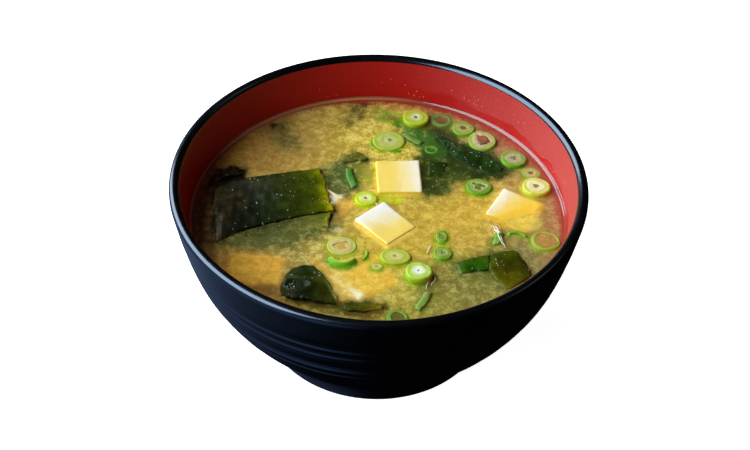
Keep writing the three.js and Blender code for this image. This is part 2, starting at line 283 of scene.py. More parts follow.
def facesOutwards(mesh):
    shape = bmesh.new()
    shape.from_mesh(mesh)
    bmesh.ops.remove_doubles(shape, verts=shape.verts, dist=0.002 * mm)
    bmesh.ops.recalc_face_normals(shape, faces=shape.faces)
    if shape.calc_volume(signed=True) < 0:
        bmesh.ops.reverse_faces(shape, faces=shape.faces)
    shape.to_mesh(mesh)
    shape.free()
    mesh.update()


def settle(piece, slot, *nodes):
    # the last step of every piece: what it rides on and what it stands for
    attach(piece, "root")
    if nodes:
        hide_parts(*nodes)


def dress(name, points, faces, paints, material, slot, *nodes):
    # a piece from points and faces, with what its material reads painted on its points
    mesh = newMesh(name, points, faces)
    for label, values in paints.items():
        paintPoints(mesh, label, values)
    facesOutwards(mesh)
    mesh.materials.append(material)
    piece = newPiece(name, mesh)
    settle(piece, slot, *nodes)
    return piece


def newTree(name, sockets):
    tree = bpy.data.node_groups.new(name, "GeometryNodeTree")
    for label, kind in sockets:
        tree.interface.new_socket(label, in_out="INPUT", socket_type="NodeSocket" + kind)
    tree.interface.new_socket("Geometry", in_out="OUTPUT", socket_type="NodeSocketGeometry")
    return tree


def endTree(start, shape, material):
    realized = start.add("GeometryNodeRealizeInstances", None, {"Geometry": shape})
    smooth = start.add("GeometryNodeSetShadeSmooth", None, {"Geometry": realized})
    return start.add("GeometryNodeSetMaterial", None, {"Geometry": smooth, "Material": material})


def grow(name, mesh, tree, values):
    # runs a node tree on a mesh and returns its result as a plain piece
    bed = newPiece(name + "Bed", mesh)
    modifier = bed.modifiers.new(tree.name, "NODES")
    modifier.node_group = tree
    for item in tree.interface.items_tree:
        if item.in_out == "INPUT" and item.name in values:
            modifier[item.identifier] = values[item.name]
    graph = bpy.context.evaluated_depsgraph_get()
    grown = bpy.data.meshes.new_from_object(
        bed.evaluated_get(graph), preserve_all_data_layers=True, depsgraph=graph
    )
    bed.modifiers.remove(modifier)
    bpy.data.objects.remove(bed)
    grown.name = name
    return newPiece(name, grown)


# Camera, light and floor

cameraSet = {
    "stand": (0, -305.47, 313.22),
    "aim": (-0.759, 0, 37.198),
    "roll": 1.627,
    "lens": 69.8,
    "sensor": 36,
    "nearest": 0.01,
}


def makeCamera(c):
    camera = bpy.data.objects.new("camera", bpy.data.cameras.new("camera"))
    stand, aim = Vector(c["stand"]) * mm, Vector(c["aim"]) * mm
    turn = (aim - stand).to_track_quat("-Z", "Y").to_matrix().to_4x4()
    roll = Matrix.Rotation(math.radians(c["roll"]), 4, "Z")
    camera.matrix_world = Matrix.Translation(stand) @ turn @ roll
    camera.data.lens = c["lens"]
    camera.data.sensor_width = c["sensor"]
    camera.data.clip_start = c["nearest"]
    bpy.context.scene.collection.objects.link(camera)
    bpy.context.scene.camera = camera


lampAim = Vector((0, 0, 40 * mm))
lamps = {
    # round is the direction in degrees (180 is left), up the height in degrees, the sizes are in mm
    "window": {
        "round": 179, "up": 35, "far": 900, "wide": 2000, "high": 950,
        "power": 31, "colour": (0.88, 0.94, 1.0),
    },
    "fill": {
        "round": 20, "up": 50, "far": 1200, "wide": 500, "high": 300,
        "power": 0.22, "colour": (1.0, 0.78, 0.6),
    },
}


def makeLamp(name, c):
    lamp = bpy.data.lights.new(name, "AREA")
    lamp.shape = "RECTANGLE"
    lamp.size, lamp.size_y = c["wide"] * mm, c["high"] * mm
    lamp.energy = c["power"]
    lamp.color = c["colour"]
    around, up = math.radians(c["round"]), math.radians(c["up"])
    away = Vector((math.cos(around) * math.cos(up), math.sin(around) * math.cos(up), math.sin(up)))
    place = bpy.data.objects.new(name, lamp)
    place.location = away * c["far"] * mm + lampAim
    place.rotation_euler = (-away).to_track_quat("-Z", "Y").to_euler()
    place.visible_camera = False
    bpy.context.scene.collection.objects.link(place)


room = {
    # what the surfaces see: above and below the bowl's foot, on the right and on the left
    "aboveRight": (0.008, 0.007, 0.007, 1),
    "aboveLeft": (0.060, 0.080, 0.120, 1),
    "belowRight": (0.002, 0.002, 0.003, 1),
    "belowLeft": (0.150, 0.220, 0.400, 1),
    # where one fades into the other, as parts of a direction
    "aboveFade": (0.1, -1.0),
    "belowFade": (0.0, -0.45),
    "underFade": (-0.98, -0.6),
    "skyline": (-0.05, 0.05),
}


def makeWorld(c):
    world = bpy.data.worlds.new("room")
    bpy.context.scene.world = world
    world.use_nodes = True
    tree = world.node_tree
    tree.nodes.clear()
    start = Wire(tree)
    side = start.add("ShaderNodeTexCoord").output("Generated").parts()
    upward = side.output("Z")
    above = side.smooth(*c["aboveFade"]).between(c["aboveRight"], c["aboveLeft"])
    below = side.smooth(*c["belowFade"]).between(c["belowRight"], c["belowLeft"])
    below = upward.smooth(*c["underFade"]).between(c["belowRight"], below)
    dim = upward.smooth(*c["skyline"]).between(below, above)
    seen = start.add("ShaderNodeLightPath").output("Is Camera Ray")
    background = start.add("ShaderNodeBackground", None, {"Color": seen.between(dim, (1, 1, 1, 1))})
    start.add("ShaderNodeOutputWorld", None, {"Surface": background})


floorSet = {"reach": 2500, "glow": 0.97, "tones": (tone(236, 236, 236), tone(240, 240, 240))}


def floorFinish(start):
    return {
        "Base Color": objectPlace(start).noise(6, 3).between(*floorSet["tones"]),
        "Roughness": 0.6,
        "Emission Color": (1, 1, 1, 1),
        "Emission Strength": floorSet["glow"],
    }


def makeFloor(c):
    wide = c["reach"]
    corners = [(-wide, -wide, 0), (wide, -wide, 0), (wide, wide, 0), (-wide, wide, 0)]
    floor = newPiece("floor", newMesh("floor", corners, [(0, 1, 2, 3)]))
    floor.data.materials.append(finish("paleFloor", floorFinish))
    floor.visible_glossy = False
    floor.visible_diffuse = False


makeCamera(cameraSet)
for name, choices in lamps.items():
    makeLamp(name, choices)
makeWorld(room)
makeFloor(floorSet)
bpy.context.scene.view_settings.view_transform = "Standard"
print("camera, light and floor made")


# Bowl: a profile with worn turning grooves, turned by a node tree

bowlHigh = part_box("bowl")[1] / mm
bowl = {
    "rimRadius": bowlHigh.x,
    "height": bowlHigh.z,
    "wall": 3.0,
    "lipRound": 1.6,
    "lipSquareness": 0.8,
    "lipInside": 1.7,
    "lipCrown": 1.4,
    "redBelow": 1.0,
    "footRadius": 33,
    "footHeight": 7,
    "footWall": 4.2,
    "footRecess": 4.6,
    "footFlare": 1.7,  # how far outside the foot the wall starts
    "floor": 9,
    # how the walls bend between their ends, as radius and height
    "innerBend": ((52.5, 33.5), (44, 9)),
    "outerBend": ((52.3, 24.5), (54.4, 36.2)),
    "floorRadius": 14,
    "grooves": 8,
    "grooveDepth": 0.27,
    "grooveHalfWidth": 0.55,
    "groovesFrom": 0.1,  # shares of the wall's length
    "groovesTo": 0.8,
    "grooveUneven": 0.03,
    "toolMarkDepth": 0.1,
    "toolMarkSize": 1.3,
    "toolMarksFrom": (0.03, 0.08),  # where they set in and are full
    "toolMarksFade": 0.06,
    "profileSteps": 230,
    "turnSteps": 224,
    "wobble": 0.05,
    "seed": 2,
    "level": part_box("soup")[1].z / mm,
}


def innerWall(b, steps):
    top = (b["rimRadius"] - b["wall"], b["height"] - b["lipInside"])
    return bezier([top, *b["innerBend"], (b["floorRadius"], b["floor"])], steps)


def wallRadius(height):
    wall = innerWall(bowl, 200)
    return np.interp(height, wall[::-1, 1], wall[::-1, 0])


def outerWall(b):
    # the same grooves as the turned solid, rounder, with fine tool marks between them
    foot = (b["footRadius"] + b["footFlare"], b["footHeight"])
    rim = (b["rimRadius"], b["height"] - b["lipRound"])
    wall = bezier([foot, *b["outerBend"], rim], 400)
    steps = np.linalg.norm(np.diff(wall, axis=0), axis=1)
    along = np.concatenate([[0], np.cumsum(steps)])
    even = np.linspace(0, along[-1], b["profileSteps"])
    wall = np.stack([np.interp(even, along, wall[:, i]) for i in range(2)], axis=1)
    share = even / even[-1]
    dent = np.zeros(len(even))
    low, high = b["groovesFrom"], b["groovesTo"]
    for i in range(b["grooves"]):
        step = i / (b["grooves"] - 1) + b["grooveUneven"] * math.sin(i * 2.3)
        middle = np.clip(low + (high - low) * step, low, high)
        dent += b["grooveDepth"] * np.exp(-(((share - middle) * even[-1] / b["grooveHalfWidth"]) ** 2))
    worked = softStep(share, *b["toolMarksFrom"]) * (1 - softStep(share, high, high + b["toolMarksFade"]))
    dent += b["toolMarkDepth"] * worked * (waves(even[:, None], b["toolMarkSize"], 4) + 1)
    slope = np.gradient(wall, axis=0)
    slope /= np.linalg.norm(slope, axis=1)[:, None]
    return wall + np.stack([-slope[:, 1], slope[:, 0]], axis=1) * dent[:, None]


def footProfile(b):
    # from the middle of the recess under the bowl, round the foot ring and up to the wall
    foot, recess = b["footRadius"], b["footRecess"]
    inner = foot - b["footWall"]
    return np.vstack([
        np.linspace((0, recess), (inner - 2, recess), 10),
        bezier([(inner - 1.6, recess), (inner - 0.6, 4.4), (inner, 3.4), (inner, 1)], 8),
        bezier([(inner + 0.1, 0.5), (inner + 0.3, 0), (inner + 0.6, 0), (inner + 1, 0)], 5),
        bezier([(foot - 1, 0), (foot - 0.3, 0), (foot, 0.3), (foot, 1)], 7),
        bezier([(foot, 1.4), (foot + 0.1, 4), (foot + 0.2, 5.6), (foot + 1, 6.6)], 12),
    ])


def bowlProfile(b):
    # the black outside with most of the lip, then the red inside
    angles = np.radians(np.linspace(8, 172, 20))
    outer = np.cos(angles) > 0
    square = np.where(outer, b["lipSquareness"], 1)
    across = np.sign(np.cos(angles)) * np.abs(np.cos(angles)) ** square
    crown = b["rimRadius"] - b["lipCrown"]
    reach = np.where(outer, b["lipCrown"], b["wall"] - b["lipCrown"])
    drop = np.where(outer, b["lipRound"], b["lipInside"]) * (1 - np.sin(angles) ** square)
    lip = np.stack([crown + reach * across, b["height"] - drop], 1)
    black = outer | (drop < b["redBelow"])
    outside = np.vstack([footProfile(b), outerWall(b), lip[black]])
    inside = np.vstack([lip[~black], innerWall(b, 90), [(0, b["floor"])]])
    return outside, inside


def latheTree():
    # every profile point becomes one ring of points; the profile mesh says which part is red
    tree = newTree("turnedOnLathe", [
        ("Geometry", "Geometry"), ("Turn Steps", "Int"), ("Wobble", "Float"), ("Seed", "Int"),
        ("Black Lacquer", "Material"), ("Red Lacquer", "Material"),
    ])
    start = Wire(tree)
    given = start.add("NodeGroupInput")
    profile = given.output("Geometry")
    steps = given.output("Turn Steps")
    count = start.add("GeometryNodeAttributeDomainSize", {"component": "MESH"}, {"Geometry": profile})
    sheet = start.add("GeometryNodeMeshGrid", None, {"Vertices X": steps + 1, "Vertices Y": count})
    index = start.add("GeometryNodeInputIndex")
    column = index.maths("MODULO", count)

    def fromProfile(value, kind):
        settings = {"data_type": kind, "domain": "POINT"}
        inputs = {"Geometry": profile, "Value": value, "Index": column}
        return start.add("GeometryNodeSampleIndex", settings, inputs)

    turn = (index / count).maths("FLOOR") / steps * (2 * math.pi)
    across, along = turn.maths("COSINE"), turn.maths("SINE")
    point = fromProfile(start.add("GeometryNodeInputPosition"), "FLOAT_VECTOR").parts()
    height = point.output("Z")
    unit = start.vector(across, along, height * 60 + given.output("Seed") * 7.3)
    uneven = start.add("ShaderNodeTexNoise", None, {"Vector": unit, "Scale": 1.2, "Detail": 1.0})
    radius = point * ((uneven - 0.5) * given.output("Wobble") + 1)
    place = start.vector(radius * across, radius * along, height)
    moved = start.add("GeometryNodeSetPosition", None, {"Geometry": sheet, "Position": place})
    red = {"Geometry": moved, "Name": "inside", "Value": fromProfile(start.marked("red"), "FLOAT")}
    marked = start.add("GeometryNodeStoreNamedAttribute", {"data_type": "FLOAT", "domain": "POINT"}, red)
    closed = start.add("GeometryNodeMergeByDistance", None, {"Geometry": marked, "Distance": 0.004 * mm})
    black = endTree(start, closed, given.output("Black Lacquer"))
    dressed = start.add("GeometryNodeSetMaterial", None, {
        "Geometry": black,
        "Selection": start.marked("inside").maths("GREATER_THAN", 0.7),
        "Material": given.output("Red Lacquer"),
    })
    start.add("NodeGroupOutput", None, {"Geometry": dressed})
    return tree


lacquer = {
    "black": ((0.0006, 0.0006, 0.0009, 1), (0.0012, 0.0013, 0.0019, 1)),
    "blackShine": (0.6, 0.78, 1.0, 1),
    "red": (tone(170, 8, 13), tone(178, 12, 18)),
    # a painted sheen of the light on the right side of the wall: its tone, that of pale dust specks
    # thickest on it, and the two places on x between which it sets in
    "paintedSheen": tone(172, 64, 60),
    "dustAndSheen": tone(206, 100, 92),
    "sheenSpan": (-4, 62),
    # broth has wetted the wall up to an uneven line, this far above its level
    "wet": tone(172, 12, 12),
    "wetUp": 3.4,
    "wetEdge": 0.25,
}


def blackLacquer(start):
    place = objectPlace(start)
    cloud = place.noise(9, 3)
    dust = place.noise(0.5, 2)
    return {
        "Base Color": cloud.between(*lacquer["black"]),
        "Roughness": 0.18 + 0.06 * cloud.smooth(0.3, 0.8),
        "IOR": 1.6,
        "Specular IOR Level": 1.0,
        "Specular Tint": lacquer["blackShine"],
        "Normal": dust.bump(0.01, 0.5),
    }


def redLacquer(start):
    place = objectPlace(start)
    apart = place.parts()
    cloud = place.noise(14, 3)
    speck = place.noise(0.55, 2, 0.7)
    wetTop, edge = bowl["level"] + lacquer["wetUp"], lacquer["wetEdge"]
    wet = (apart.output("Z") / mm + (cloud - 0.5) * 9).smooth(wetTop + edge, wetTop - edge)
    red = cloud.between(*lacquer["red"])
    # painted sheen of the light on the right side, with pale dust specks thickest on it
    sheenMask = (apart / mm + (cloud - 0.5) * 16).smooth(*lacquer["sheenSpan"])
    paintedSheen = sheenMask.between(red, lacquer["paintedSheen"])
    dustAndSheen = (speck.smooth(0.56, 0.74) * (sheenMask * 0.5 + 0.1)).between(paintedSheen, lacquer["dustAndSheen"])
    return {
        "Base Color": (wet * 0.7).between(dustAndSheen, lacquer["wet"]),
        "Roughness": 0.5 - wet * 0.2,
        "Specular IOR Level": 0.28,
        "Normal": speck.bump(0.02, 0.5),
    }


def makeBowl(b):
    outside, inside = bowlProfile(b)
    profile = np.vstack([outside, inside])
    points = np.stack([profile[:, 0], np.zeros(len(profile)), profile[:, 1]], axis=1)
    mesh = newMesh("bowlProfile", points, [])
    paintPoints(mesh, "red", [0.0] * len(outside) + [1.0] * len(inside))
    shell = grow("bowlShell", mesh, latheTree(), {
        "Turn Steps": b["turnSteps"],
        "Wobble": b["wobble"] / b["rimRadius"],
        "Seed": b["seed"],
        "Black Lacquer": finish("blackLacquer", blackLacquer),
        "Red Lacquer": finish("redLacquer", redLacquer),
    })
    facesOutwards(shell.data)
    settle(shell, "lacquer", "bowl")


makeBowl(bowl)
print("bowl turned")


# Miso: what all the surfaces that broth covers share

level = bowl["level"]

miso = {
    # the sizes of its waves, lumps, grains and cracks in mm
    "sway": 2.6, "swaySize": 10, "lumps": 2.3, "grains": 0.9, "fine": 0.5,
    "cells": 2.6, "crackReach": 0.10, "crackPatch": 8, "pits": 2.0, "pitDepth": 0.3,
    # how much the lumps, grains and fine grit each count
    "mix": (0.72, 0.12, 0.26),
    # how the broth's tone changes from its gaps to its crests, and that of what shows through it
    "shades": ((0.66, 0.60, 0.42), (1.18, 1.21, 1.36)),
    "veilShades": ((0.80, 0.78, 0.66), (1.16, 1.18, 1.26)),
}


def misoCloud(place, m=miso):
    # grains gathered in lumps, from 0 in the gaps to 1 on the crests
    sway = place.noise(m["swaySize"], 2).output("Color").vectors("SUBTRACT", (0.5, 0.5, 0.5))
    place = place.vectors("ADD", sway.scaled(m["sway"] * mm))
    lumps = place.noise(m["lumps"], 4, 0.62)
    fine = place.noise(m["fine"], 2, 0.6)

    def cellular(feature, size, **more):
        inputs = {"Vector": place, "Scale": 1 / (size * mm), **more}
        return place.add("ShaderNodeTexVoronoi", {"feature": feature}, inputs)

    grains = cellular("SMOOTH_F1", m["grains"], Smoothness=0.7)
    cells = cellular("DISTANCE_TO_EDGE", m["cells"])
    cracked = place.noise(m["crackPatch"], 2).smooth(0.44, 0.62)
    cloud = (lumps * m["mix"][0] + (1 - grains) * m["mix"][1] + fine * m["mix"][2]).smooth(0.36, 0.76)
    # thin dark pits wander between the lumps
    wander = place.noise(m["pits"], 3, 0.65) - 0.5
    pits = wander.maths("ABSOLUTE").smooth(0.035, 0.0) * fine.smooth(0.6, 0.42)
    cracks = cracked * cells.smooth(m["crackReach"], 0.0) * 0.5
    return (cloud - pits * m["pitDepth"]) * (1 - cracks)


def brothFinish(start):
    plain = misoCloud(objectPlace(start))
    cloud = (plain - 0.5) * start.painted("body", "Alpha") + 0.5
    cloud = cloud.maths("MAXIMUM", 0.0).maths("MINIMUM", 1.15)
    mean = start.painted("body", "Color")
    body = cloud.between(*(mean.tinted(shade) for shade in miso["shades"]))
    veil = start.painted("veil", "Color")
    amount = start.painted("veil", "Alpha")
    clear = start.painted("clear")
    # what is sunk shows first between the lumps, and its own colour is clouded a little
    hidden = (plain * 0.6 + cloud * 0.4) * (1 - clear)
    veil = (hidden + clear * 0.5).between(*(veil.tinted(shade) for shade in miso["veilShades"]))
    shown = amount * (1.38 - hidden * (0.84 - amount * 0.3))
    return {
        "Base Color": shown.between(body, veil),
        "Roughness": 0.09,
        "Specular IOR Level": 0.4,
        **soft(0.6, (1.0, 0.8, 0.4), 1.2),
        "Coat Weight": clear * 0.9,
        "Coat Roughness": 0.06,
    }


# Everything that lies in the broth tells here how it shows through it and how the broth climbs it

sunken = []  # dictionaries: distance function, tone, reach, strength
rises = []  # functions that give the height of the broth above its level, with where they act


def hazeFrom(distance, colour, reach, strength):
    sunken.append({"distance": distance, "colour": tone(*colour)[:3], "reach": reach, "strength": strength})


def riseFrom(middle, around, rise):
    rises.append({"middle": np.asarray(middle, float), "around": around, "rise": rise})


def climbedBy(outline, climb, reach):
    # climb is a height in millimetres, or a function that gives it for each point
    outline = np.asarray(outline)[:, :2]
    middle = outline.mean(0)

    def rise(points):
        tall = climb(points) if callable(climb) else climb
        return tall * np.exp(-((np.abs(outlineDistance(points, outline)) / reach) ** 1.4))

    riseFrom(middle, np.linalg.norm(outline - middle, axis=1).max() + 3, rise)


def roundDistance(x, y, wide, deep, hole=0.0):
    def distance(points):
        flat = np.hypot(points[:, 0] - x, (points[:, 1] - y) * wide / deep)
        return np.maximum(flat - wide, hole - flat)
    return distance


def shapeDistance(outline, wander=0.0, seed=0):
    # a sunken thing's outline, made uneven by wander millimetres
    def distance(points):
        return outlineDistance(points, outline) + wander * waves(points, 5, seed)
    return distance


# Bean curd

curd = {
    "step": 0.45,
    "edgeRound": 0.45,
    "unevenness": 0.05,
    "wetReach": 1.3,
    "white": (tone(255, 248, 238), tone(255, 253, 249)),
    # under a film of broth, and under more of it
    "yellow": (tone(254, 212, 64), tone(255, 220, 86)),
    "deep": tone(248, 203, 72),
}
dice = {
    # for each die the side where it stays white, how far across the film of broth sets in and is
    # full, the strength of its haze, the tones of its top and side under the broth, and for the
    # sunk ones how much of its height the broth climbs anyway and at most in mm
    "tofu_back": {
        "dry": (0.98, 0.15), "film": (-11.5, 4.0), "fade": 0.5, "under": ((244, 204, 78), (244, 200, 72)),
    },
    "tofu_middle": {
        "dry": (-0.5, 0.86), "film": (-8.0, 5.0), "fade": 0.5, "under": ((240, 206, 92), (244, 210, 98)),
    },
    "tofu_right": {
        "dry": (-0.8, 0.6), "film": (-8.4, 0.8), "fade": 0.6, "under": ((242, 206, 82), (236, 190, 60)),
    },
    "tofu_wedge": {
        "dry": (0.3, 0.95), "film": (2.5, 9), "fade": 0.6, "under": ((232, 184, 84), (220, 168, 68)),
        "cover": 0,
    },
    "tofu_front": {
        "dry": (-0.1, -1.0), "film": (-7.4, -5.0), "fade": 0.7, "under": ((250, 212, 90), (228, 180, 60)),
        "share": 1.1, "cover": 2,
    },
}


def dieFrame(node):
    # the middle, axes and half sizes of a cut die, read from its solid
    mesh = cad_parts[node].data
    normals = np.array([p.normal for p in mesh.polygons])
    areas = np.array([p.area for p in mesh.polygons])
    top = normals[np.argmax(areas * (normals[:, 2] > 0.8))]
    side = normals[np.argmax(areas * (normals[:, 0] > 0.5) * (np.abs(normals[:, 2]) < 0.4))]
    axes = np.stack([side, np.cross(top, side), top])
    points = np.array([v.co for v in mesh.vertices]) / mm
    across = points @ axes.T
    low, high = across.min(0), across.max(0)
    return (low + high) / 2 @ axes, axes, (high - low) / 2


def dieHaze(middle, axes, half, tones, fade):
    # the top shows through thin broth, and the sides for a little way round it
    def topDistance(points):
        spots = np.column_stack([points, np.full(len(points), level)])
        depth = np.maximum((spots - middle - axes[2] * half[2]) @ axes[2], 0)
        across = np.abs((spots - middle) @ axes.T[:, :2]) - half[:2] + 0.2
        return 0.3 * depth + np.hypot(*np.maximum(across, 0).T)

    def sideDistance(points):
        return np.maximum(topDistance(points + (0, 1.0)) - 0.4, 0)

    hazeFrom(sideDistance, tones[1], fade * 0.8, 0.8)
    hazeFrom(topDistance, tones[0], fade * 0.6, 0.97)


def curdFinish(start):
    place = objectPlace(start)
    film = start.painted("film")
    grain = place.noise(0.7, 4, 0.6)
    patch = place.noise(2.8, 4, 0.65)
    soaked = film + (patch - 0.5) * 0.55 * film.smooth(0.0, 0.6)
    white = grain.between(*curd["white"])
    yellow = grain.between(*curd["yellow"])
    deep = film.smooth(0.95, 1.7).between(yellow, curd["deep"])
    return {
        "Base Color": soaked.smooth(-0.15, 1.25).between(white, deep),
        "Roughness": 0.46 - soaked * 0.16,
        "Specular IOR Level": 0.45,
        **soft(0.5, (1.0, 0.8, 0.5), 1.5),
        "Normal": grain.bump(0.02, 0.5),
    }


def blockGrid(half):
    # the six sides of a block as grids of points
    counts = [max(4, round(2 * size / curd["step"])) for size in half]
    points, faces = [], []
    for axis in range(3):
        for sign in (-1, 1):
            u, v = (axis + 1) % 3, (axis + 2) % 3
            columns, rows = counts[u] + 1, counts[v] + 1
            first = sum(len(p) for p in points)
            side = np.zeros((rows, columns, 3))
            side[..., axis] = sign * half[axis]
            side[..., u] = np.linspace(-half[u], half[u], columns)[None]
            side[..., v] = np.linspace(-half[v], half[v], rows)[:, None]
            points.append(side.reshape(-1, 3))
            faces += [f if sign > 0 else f[::-1] for f in gridFaces(rows, columns, first=first)]
    return np.vstack(points), faces


def makeDie(node, c, material):
    middle, axes, half = dieFrame(node)
    local, faces = blockGrid(half)
    # rounded edges, and cut sides that aren't quite flat
    core = np.clip(local, -(half - curd["edgeRound"]), half - curd["edgeRound"])
    away = local - core
    length = np.linalg.norm(away, axis=1)[:, None]
    local = core + away / np.maximum(length, 1e-9) * np.minimum(length, curd["edgeRound"])
    seed = seedOf(node)
    dent = curd["unevenness"] * (waves(local, 7, seed) + 0.5 * waves(local, 1.8, seed + 1) - 1)
    local += away / np.maximum(length, 1e-9) * dent[:, None]
    placed = middle + local @ axes
    dry = np.array(c["dry"]) / np.linalg.norm(c["dry"])
    # the film of broth: across the top, near the level, along the edges and down the sides
    film = softStep(-((placed - middle)[:, :2] @ dry), *c["film"])
    film += 0.8 * (1 - softStep(placed[:, 2], level - 0.2, level + 0.6))
    film += 0.25 * softStep(np.sort(np.abs(local) - half, axis=1)[:, 1], -0.5, -0.1)
    film += 0.6 * softStep(half[2] - local[:, 2], 0.2, 0.6) * softStep(film, 0.1, 0.5)
    dress(node + "Cut", placed, faces, {"film": film}, material, "curd", node)
    dieHaze(middle, axes, half, c["under"], c["fade"])
    up = axes[2]
    middleTop = middle + up * half[2]
    ends = [axes[0] * half[0] * i + axes[1] * half[1] * j for i, j in ((-1, -1), (1, -1), (1, 1), (-1, 1))]

    def topEdge(points):
        # broth just covers an edge that is nearly flush, and stays under one that stands clear
        height = middleTop[2] - (points - middleTop[:2]) @ up[:2] / up[2] - level
        covered = softStep(-((points - middle[:2]) @ dry), *c["film"])
        return np.clip(height * (c.get("share", 0.3) + 0.6 * covered), 0, c.get("cover", 0.4))

    climbedBy([middleTop + end for end in ends], topEdge, curd["wetReach"])


curdMaterial = finish("silkenCurd", curdFinish)
for node, choices in dice.items():
    makeDie(node, choices, curdMaterial)
print("bean curd cut")


# Spring onion slices: rings with a rounded rim and layers

onion = {
    "round": 56, "rim": 0.5, "dip": 0.05, "climb": 0.16, "climbReach": 0.7,
    # the tone of its rays, how its dark specks change its own tone, and the broth on it
    "ray": tone(255, 252, 228), "speck": (0.84, 0.88, 0.78), "rayCount": 34,
    "broth": (tone(150, 124, 48), tone(214, 186, 104)),
}

onionColumns = ("slot", "under", "hole", "heart", "lobes", "rays", "lean", "heartTone", "fleshTone",
                "skinTone", "sideTone", "holeTone")
onionSlices = {
    # the slot, how far broth covers the slice, its hole as a share of the radius, how far out the
    # pale heart reaches, how lobed the hole is, rays in the heart, lean in degrees; then the tones
    # of the heart, the flesh, the skin from above, the skin's side and what shows in the hole
    "back_1": ("green", 0.5, 0.5, 0.3, 0.05, 0.45, 0,
        (170, 176, 84), (156, 176, 66), (112, 166, 26), (126, 172, 10), (150, 126, 62)),
    "back_2": ("pale", 0.0, 0.14, 0.2, 0.05, 0.45, 0,
        (214, 216, 160), (182, 194, 58), (172, 188, 44), (160, 178, 14), (96, 70, 46)),
    "back_4": ("green", 0.16, 0.28, 0.2, 0.05, 0.15, 0,
        (168, 178, 104), (144, 170, 80), (112, 166, 26), (126, 172, 10), (138, 70, 56)),
    "back_5": ("green", 0.08, 0.4, 0.3, 0.36, 0.5, 6,
        (204, 180, 138), (178, 184, 104), (130, 166, 52), (118, 166, 20), (162, 84, 74)),
    "back_6": ("pale", 0.14, 0.08, 0.4, 0.05, 0.45, 6,
        (188, 196, 96), (178, 192, 80), (168, 186, 52), (156, 182, 8), (140, 146, 74)),
    "side_2": ("green", 0.26, 0.26, 0.3, 0.16, 0.2, 0,
        (182, 186, 116), (156, 178, 84), (132, 168, 56), (126, 172, 10), (138, 88, 56)),
    "side_3": ("pale", 0.0, 0.2, 0.42, 0.16, 0.7, 0,
        (232, 230, 168), (216, 216, 112), (200, 204, 66), (198, 200, 46), (160, 126, 62)),
    "middle_1": ("pale", 0.0, 0.12, 0.4, 0.05, 0.6, 0,
        (220, 228, 130), (202, 214, 44), (192, 208, 28), (196, 206, 20), (134, 96, 46)),
    "front_1": ("pale", 0.24, 0.4, 0.4, 0.3, 0.45, 0,
        (218, 198, 122), (206, 204, 108), (184, 196, 74), (172, 186, 40), (222, 180, 96)),
    "front_2": ("pale", 0.18, 0.1, 0.3, 0.05, 0.5, 0,
        (206, 206, 112), (188, 200, 76), (176, 194, 52), (172, 188, 10), (150, 130, 50)),
    "front_4": ("pale", 0.0, 0.06, 0.24, 0.05, 0.45, 0,
        (248, 252, 232), (186, 212, 92), (164, 198, 56), (142, 182, 6), (120, 130, 60)),
    "back_3": ("green", 0.1, 0.58, 0.1, 0.05, 0.45, 0,
        (110, 138, 66), (84, 138, 50), (62, 128, 26), (84, 144, 6), (134, 84, 62)),
    "back_7": ("green", 0.1, 0.5, 0.1, 0.05, 0.0, 0,
        (58, 138, 30), (52, 146, 20), (44, 146, 12), (84, 144, 6), (50, 84, 34)),
    "side_1": ("green", 0.0, 0.2, 0.5, 0.3, 0.5, 0,
        (160, 158, 104), (138, 160, 78), (96, 166, 8), (126, 172, 10), (136, 112, 70)),
    "side_4": ("green", 0.1, 0.78, 0.2, 0.05, 0.45, 0,
        (166, 172, 60), (148, 180, 40), (134, 180, 20), (140, 184, 10), (186, 142, 78)),
    "right": ("green", 0.06, 0.4, 0.22, 0.36, 0.6, 0,
        (166, 178, 100), (128, 158, 62), (96, 156, 12), (140, 176, 6), (112, 122, 58)),
    "middle_2": ("green", 0.05, 0.8, 0.1, 0.05, 0.45, 0,
        (182, 184, 80), (178, 188, 56), (184, 194, 26), (172, 186, 18), (168, 152, 62)),
    "front_3": ("green", 0.1, 0.3, 0.4, 0.3, 0.45, 0,
        (208, 196, 108), (190, 196, 94), (130, 180, 16), (126, 172, 10), (208, 176, 86)),
    "front_5": ("green", 0.16, 0.62, 0.2, 0.05, 0.1, 0,
        (122, 164, 62), (108, 162, 60), (84, 152, 40), (126, 172, 10), (104, 98, 44)),
    "loop_1": ("green", 0.3, 0.42, 0.2, 0.05, 0.45, 0,
        (120, 168, 40), (104, 164, 22), (112, 166, 26), (126, 172, 10), (140, 146, 52)),
    "loop_2": ("green", 0.3, 0.22, 0.4, 0.3, 0.45, 0,
        (120, 160, 50), (100, 160, 20), (94, 160, 10), (126, 172, 10), (120, 130, 54)),
}


def onionFinish(start):
    place = objectPlace(start)
    colour = start.painted("tone", "Color")
    fibre = place.noise(0.5, 3, 0.6)
    patch = place.noise(1.6, 2, 0.5)
    fan = start.painted("rays") * onion["rayCount"] + patch * 6
    lines = (fan.maths("SINE") * 0.5 + fibre).smooth(0.5, 1.0)
    streaked = (lines * start.painted("rayed") * 0.75).between(colour, onion["ray"])
    darker = streaked.tinted(onion["speck"])
    mottled = (patch * 0.6 + fibre * 0.4).smooth(0.62, 0.36).between(streaked, darker)
    cloud = misoCloud(place)
    broth = cloud.between(*onion["broth"])
    return {
        "Base Color": (start.painted("under") * (cloud * 0.5 + 0.5)).between(mottled, broth),
        "Roughness": 0.38,
        "Specular IOR Level": 0.24,
        **soft(0.35, (0.9, 1.0, 0.4), 0.8),
        "Normal": fibre.bump(0.02, 0.5),
    }


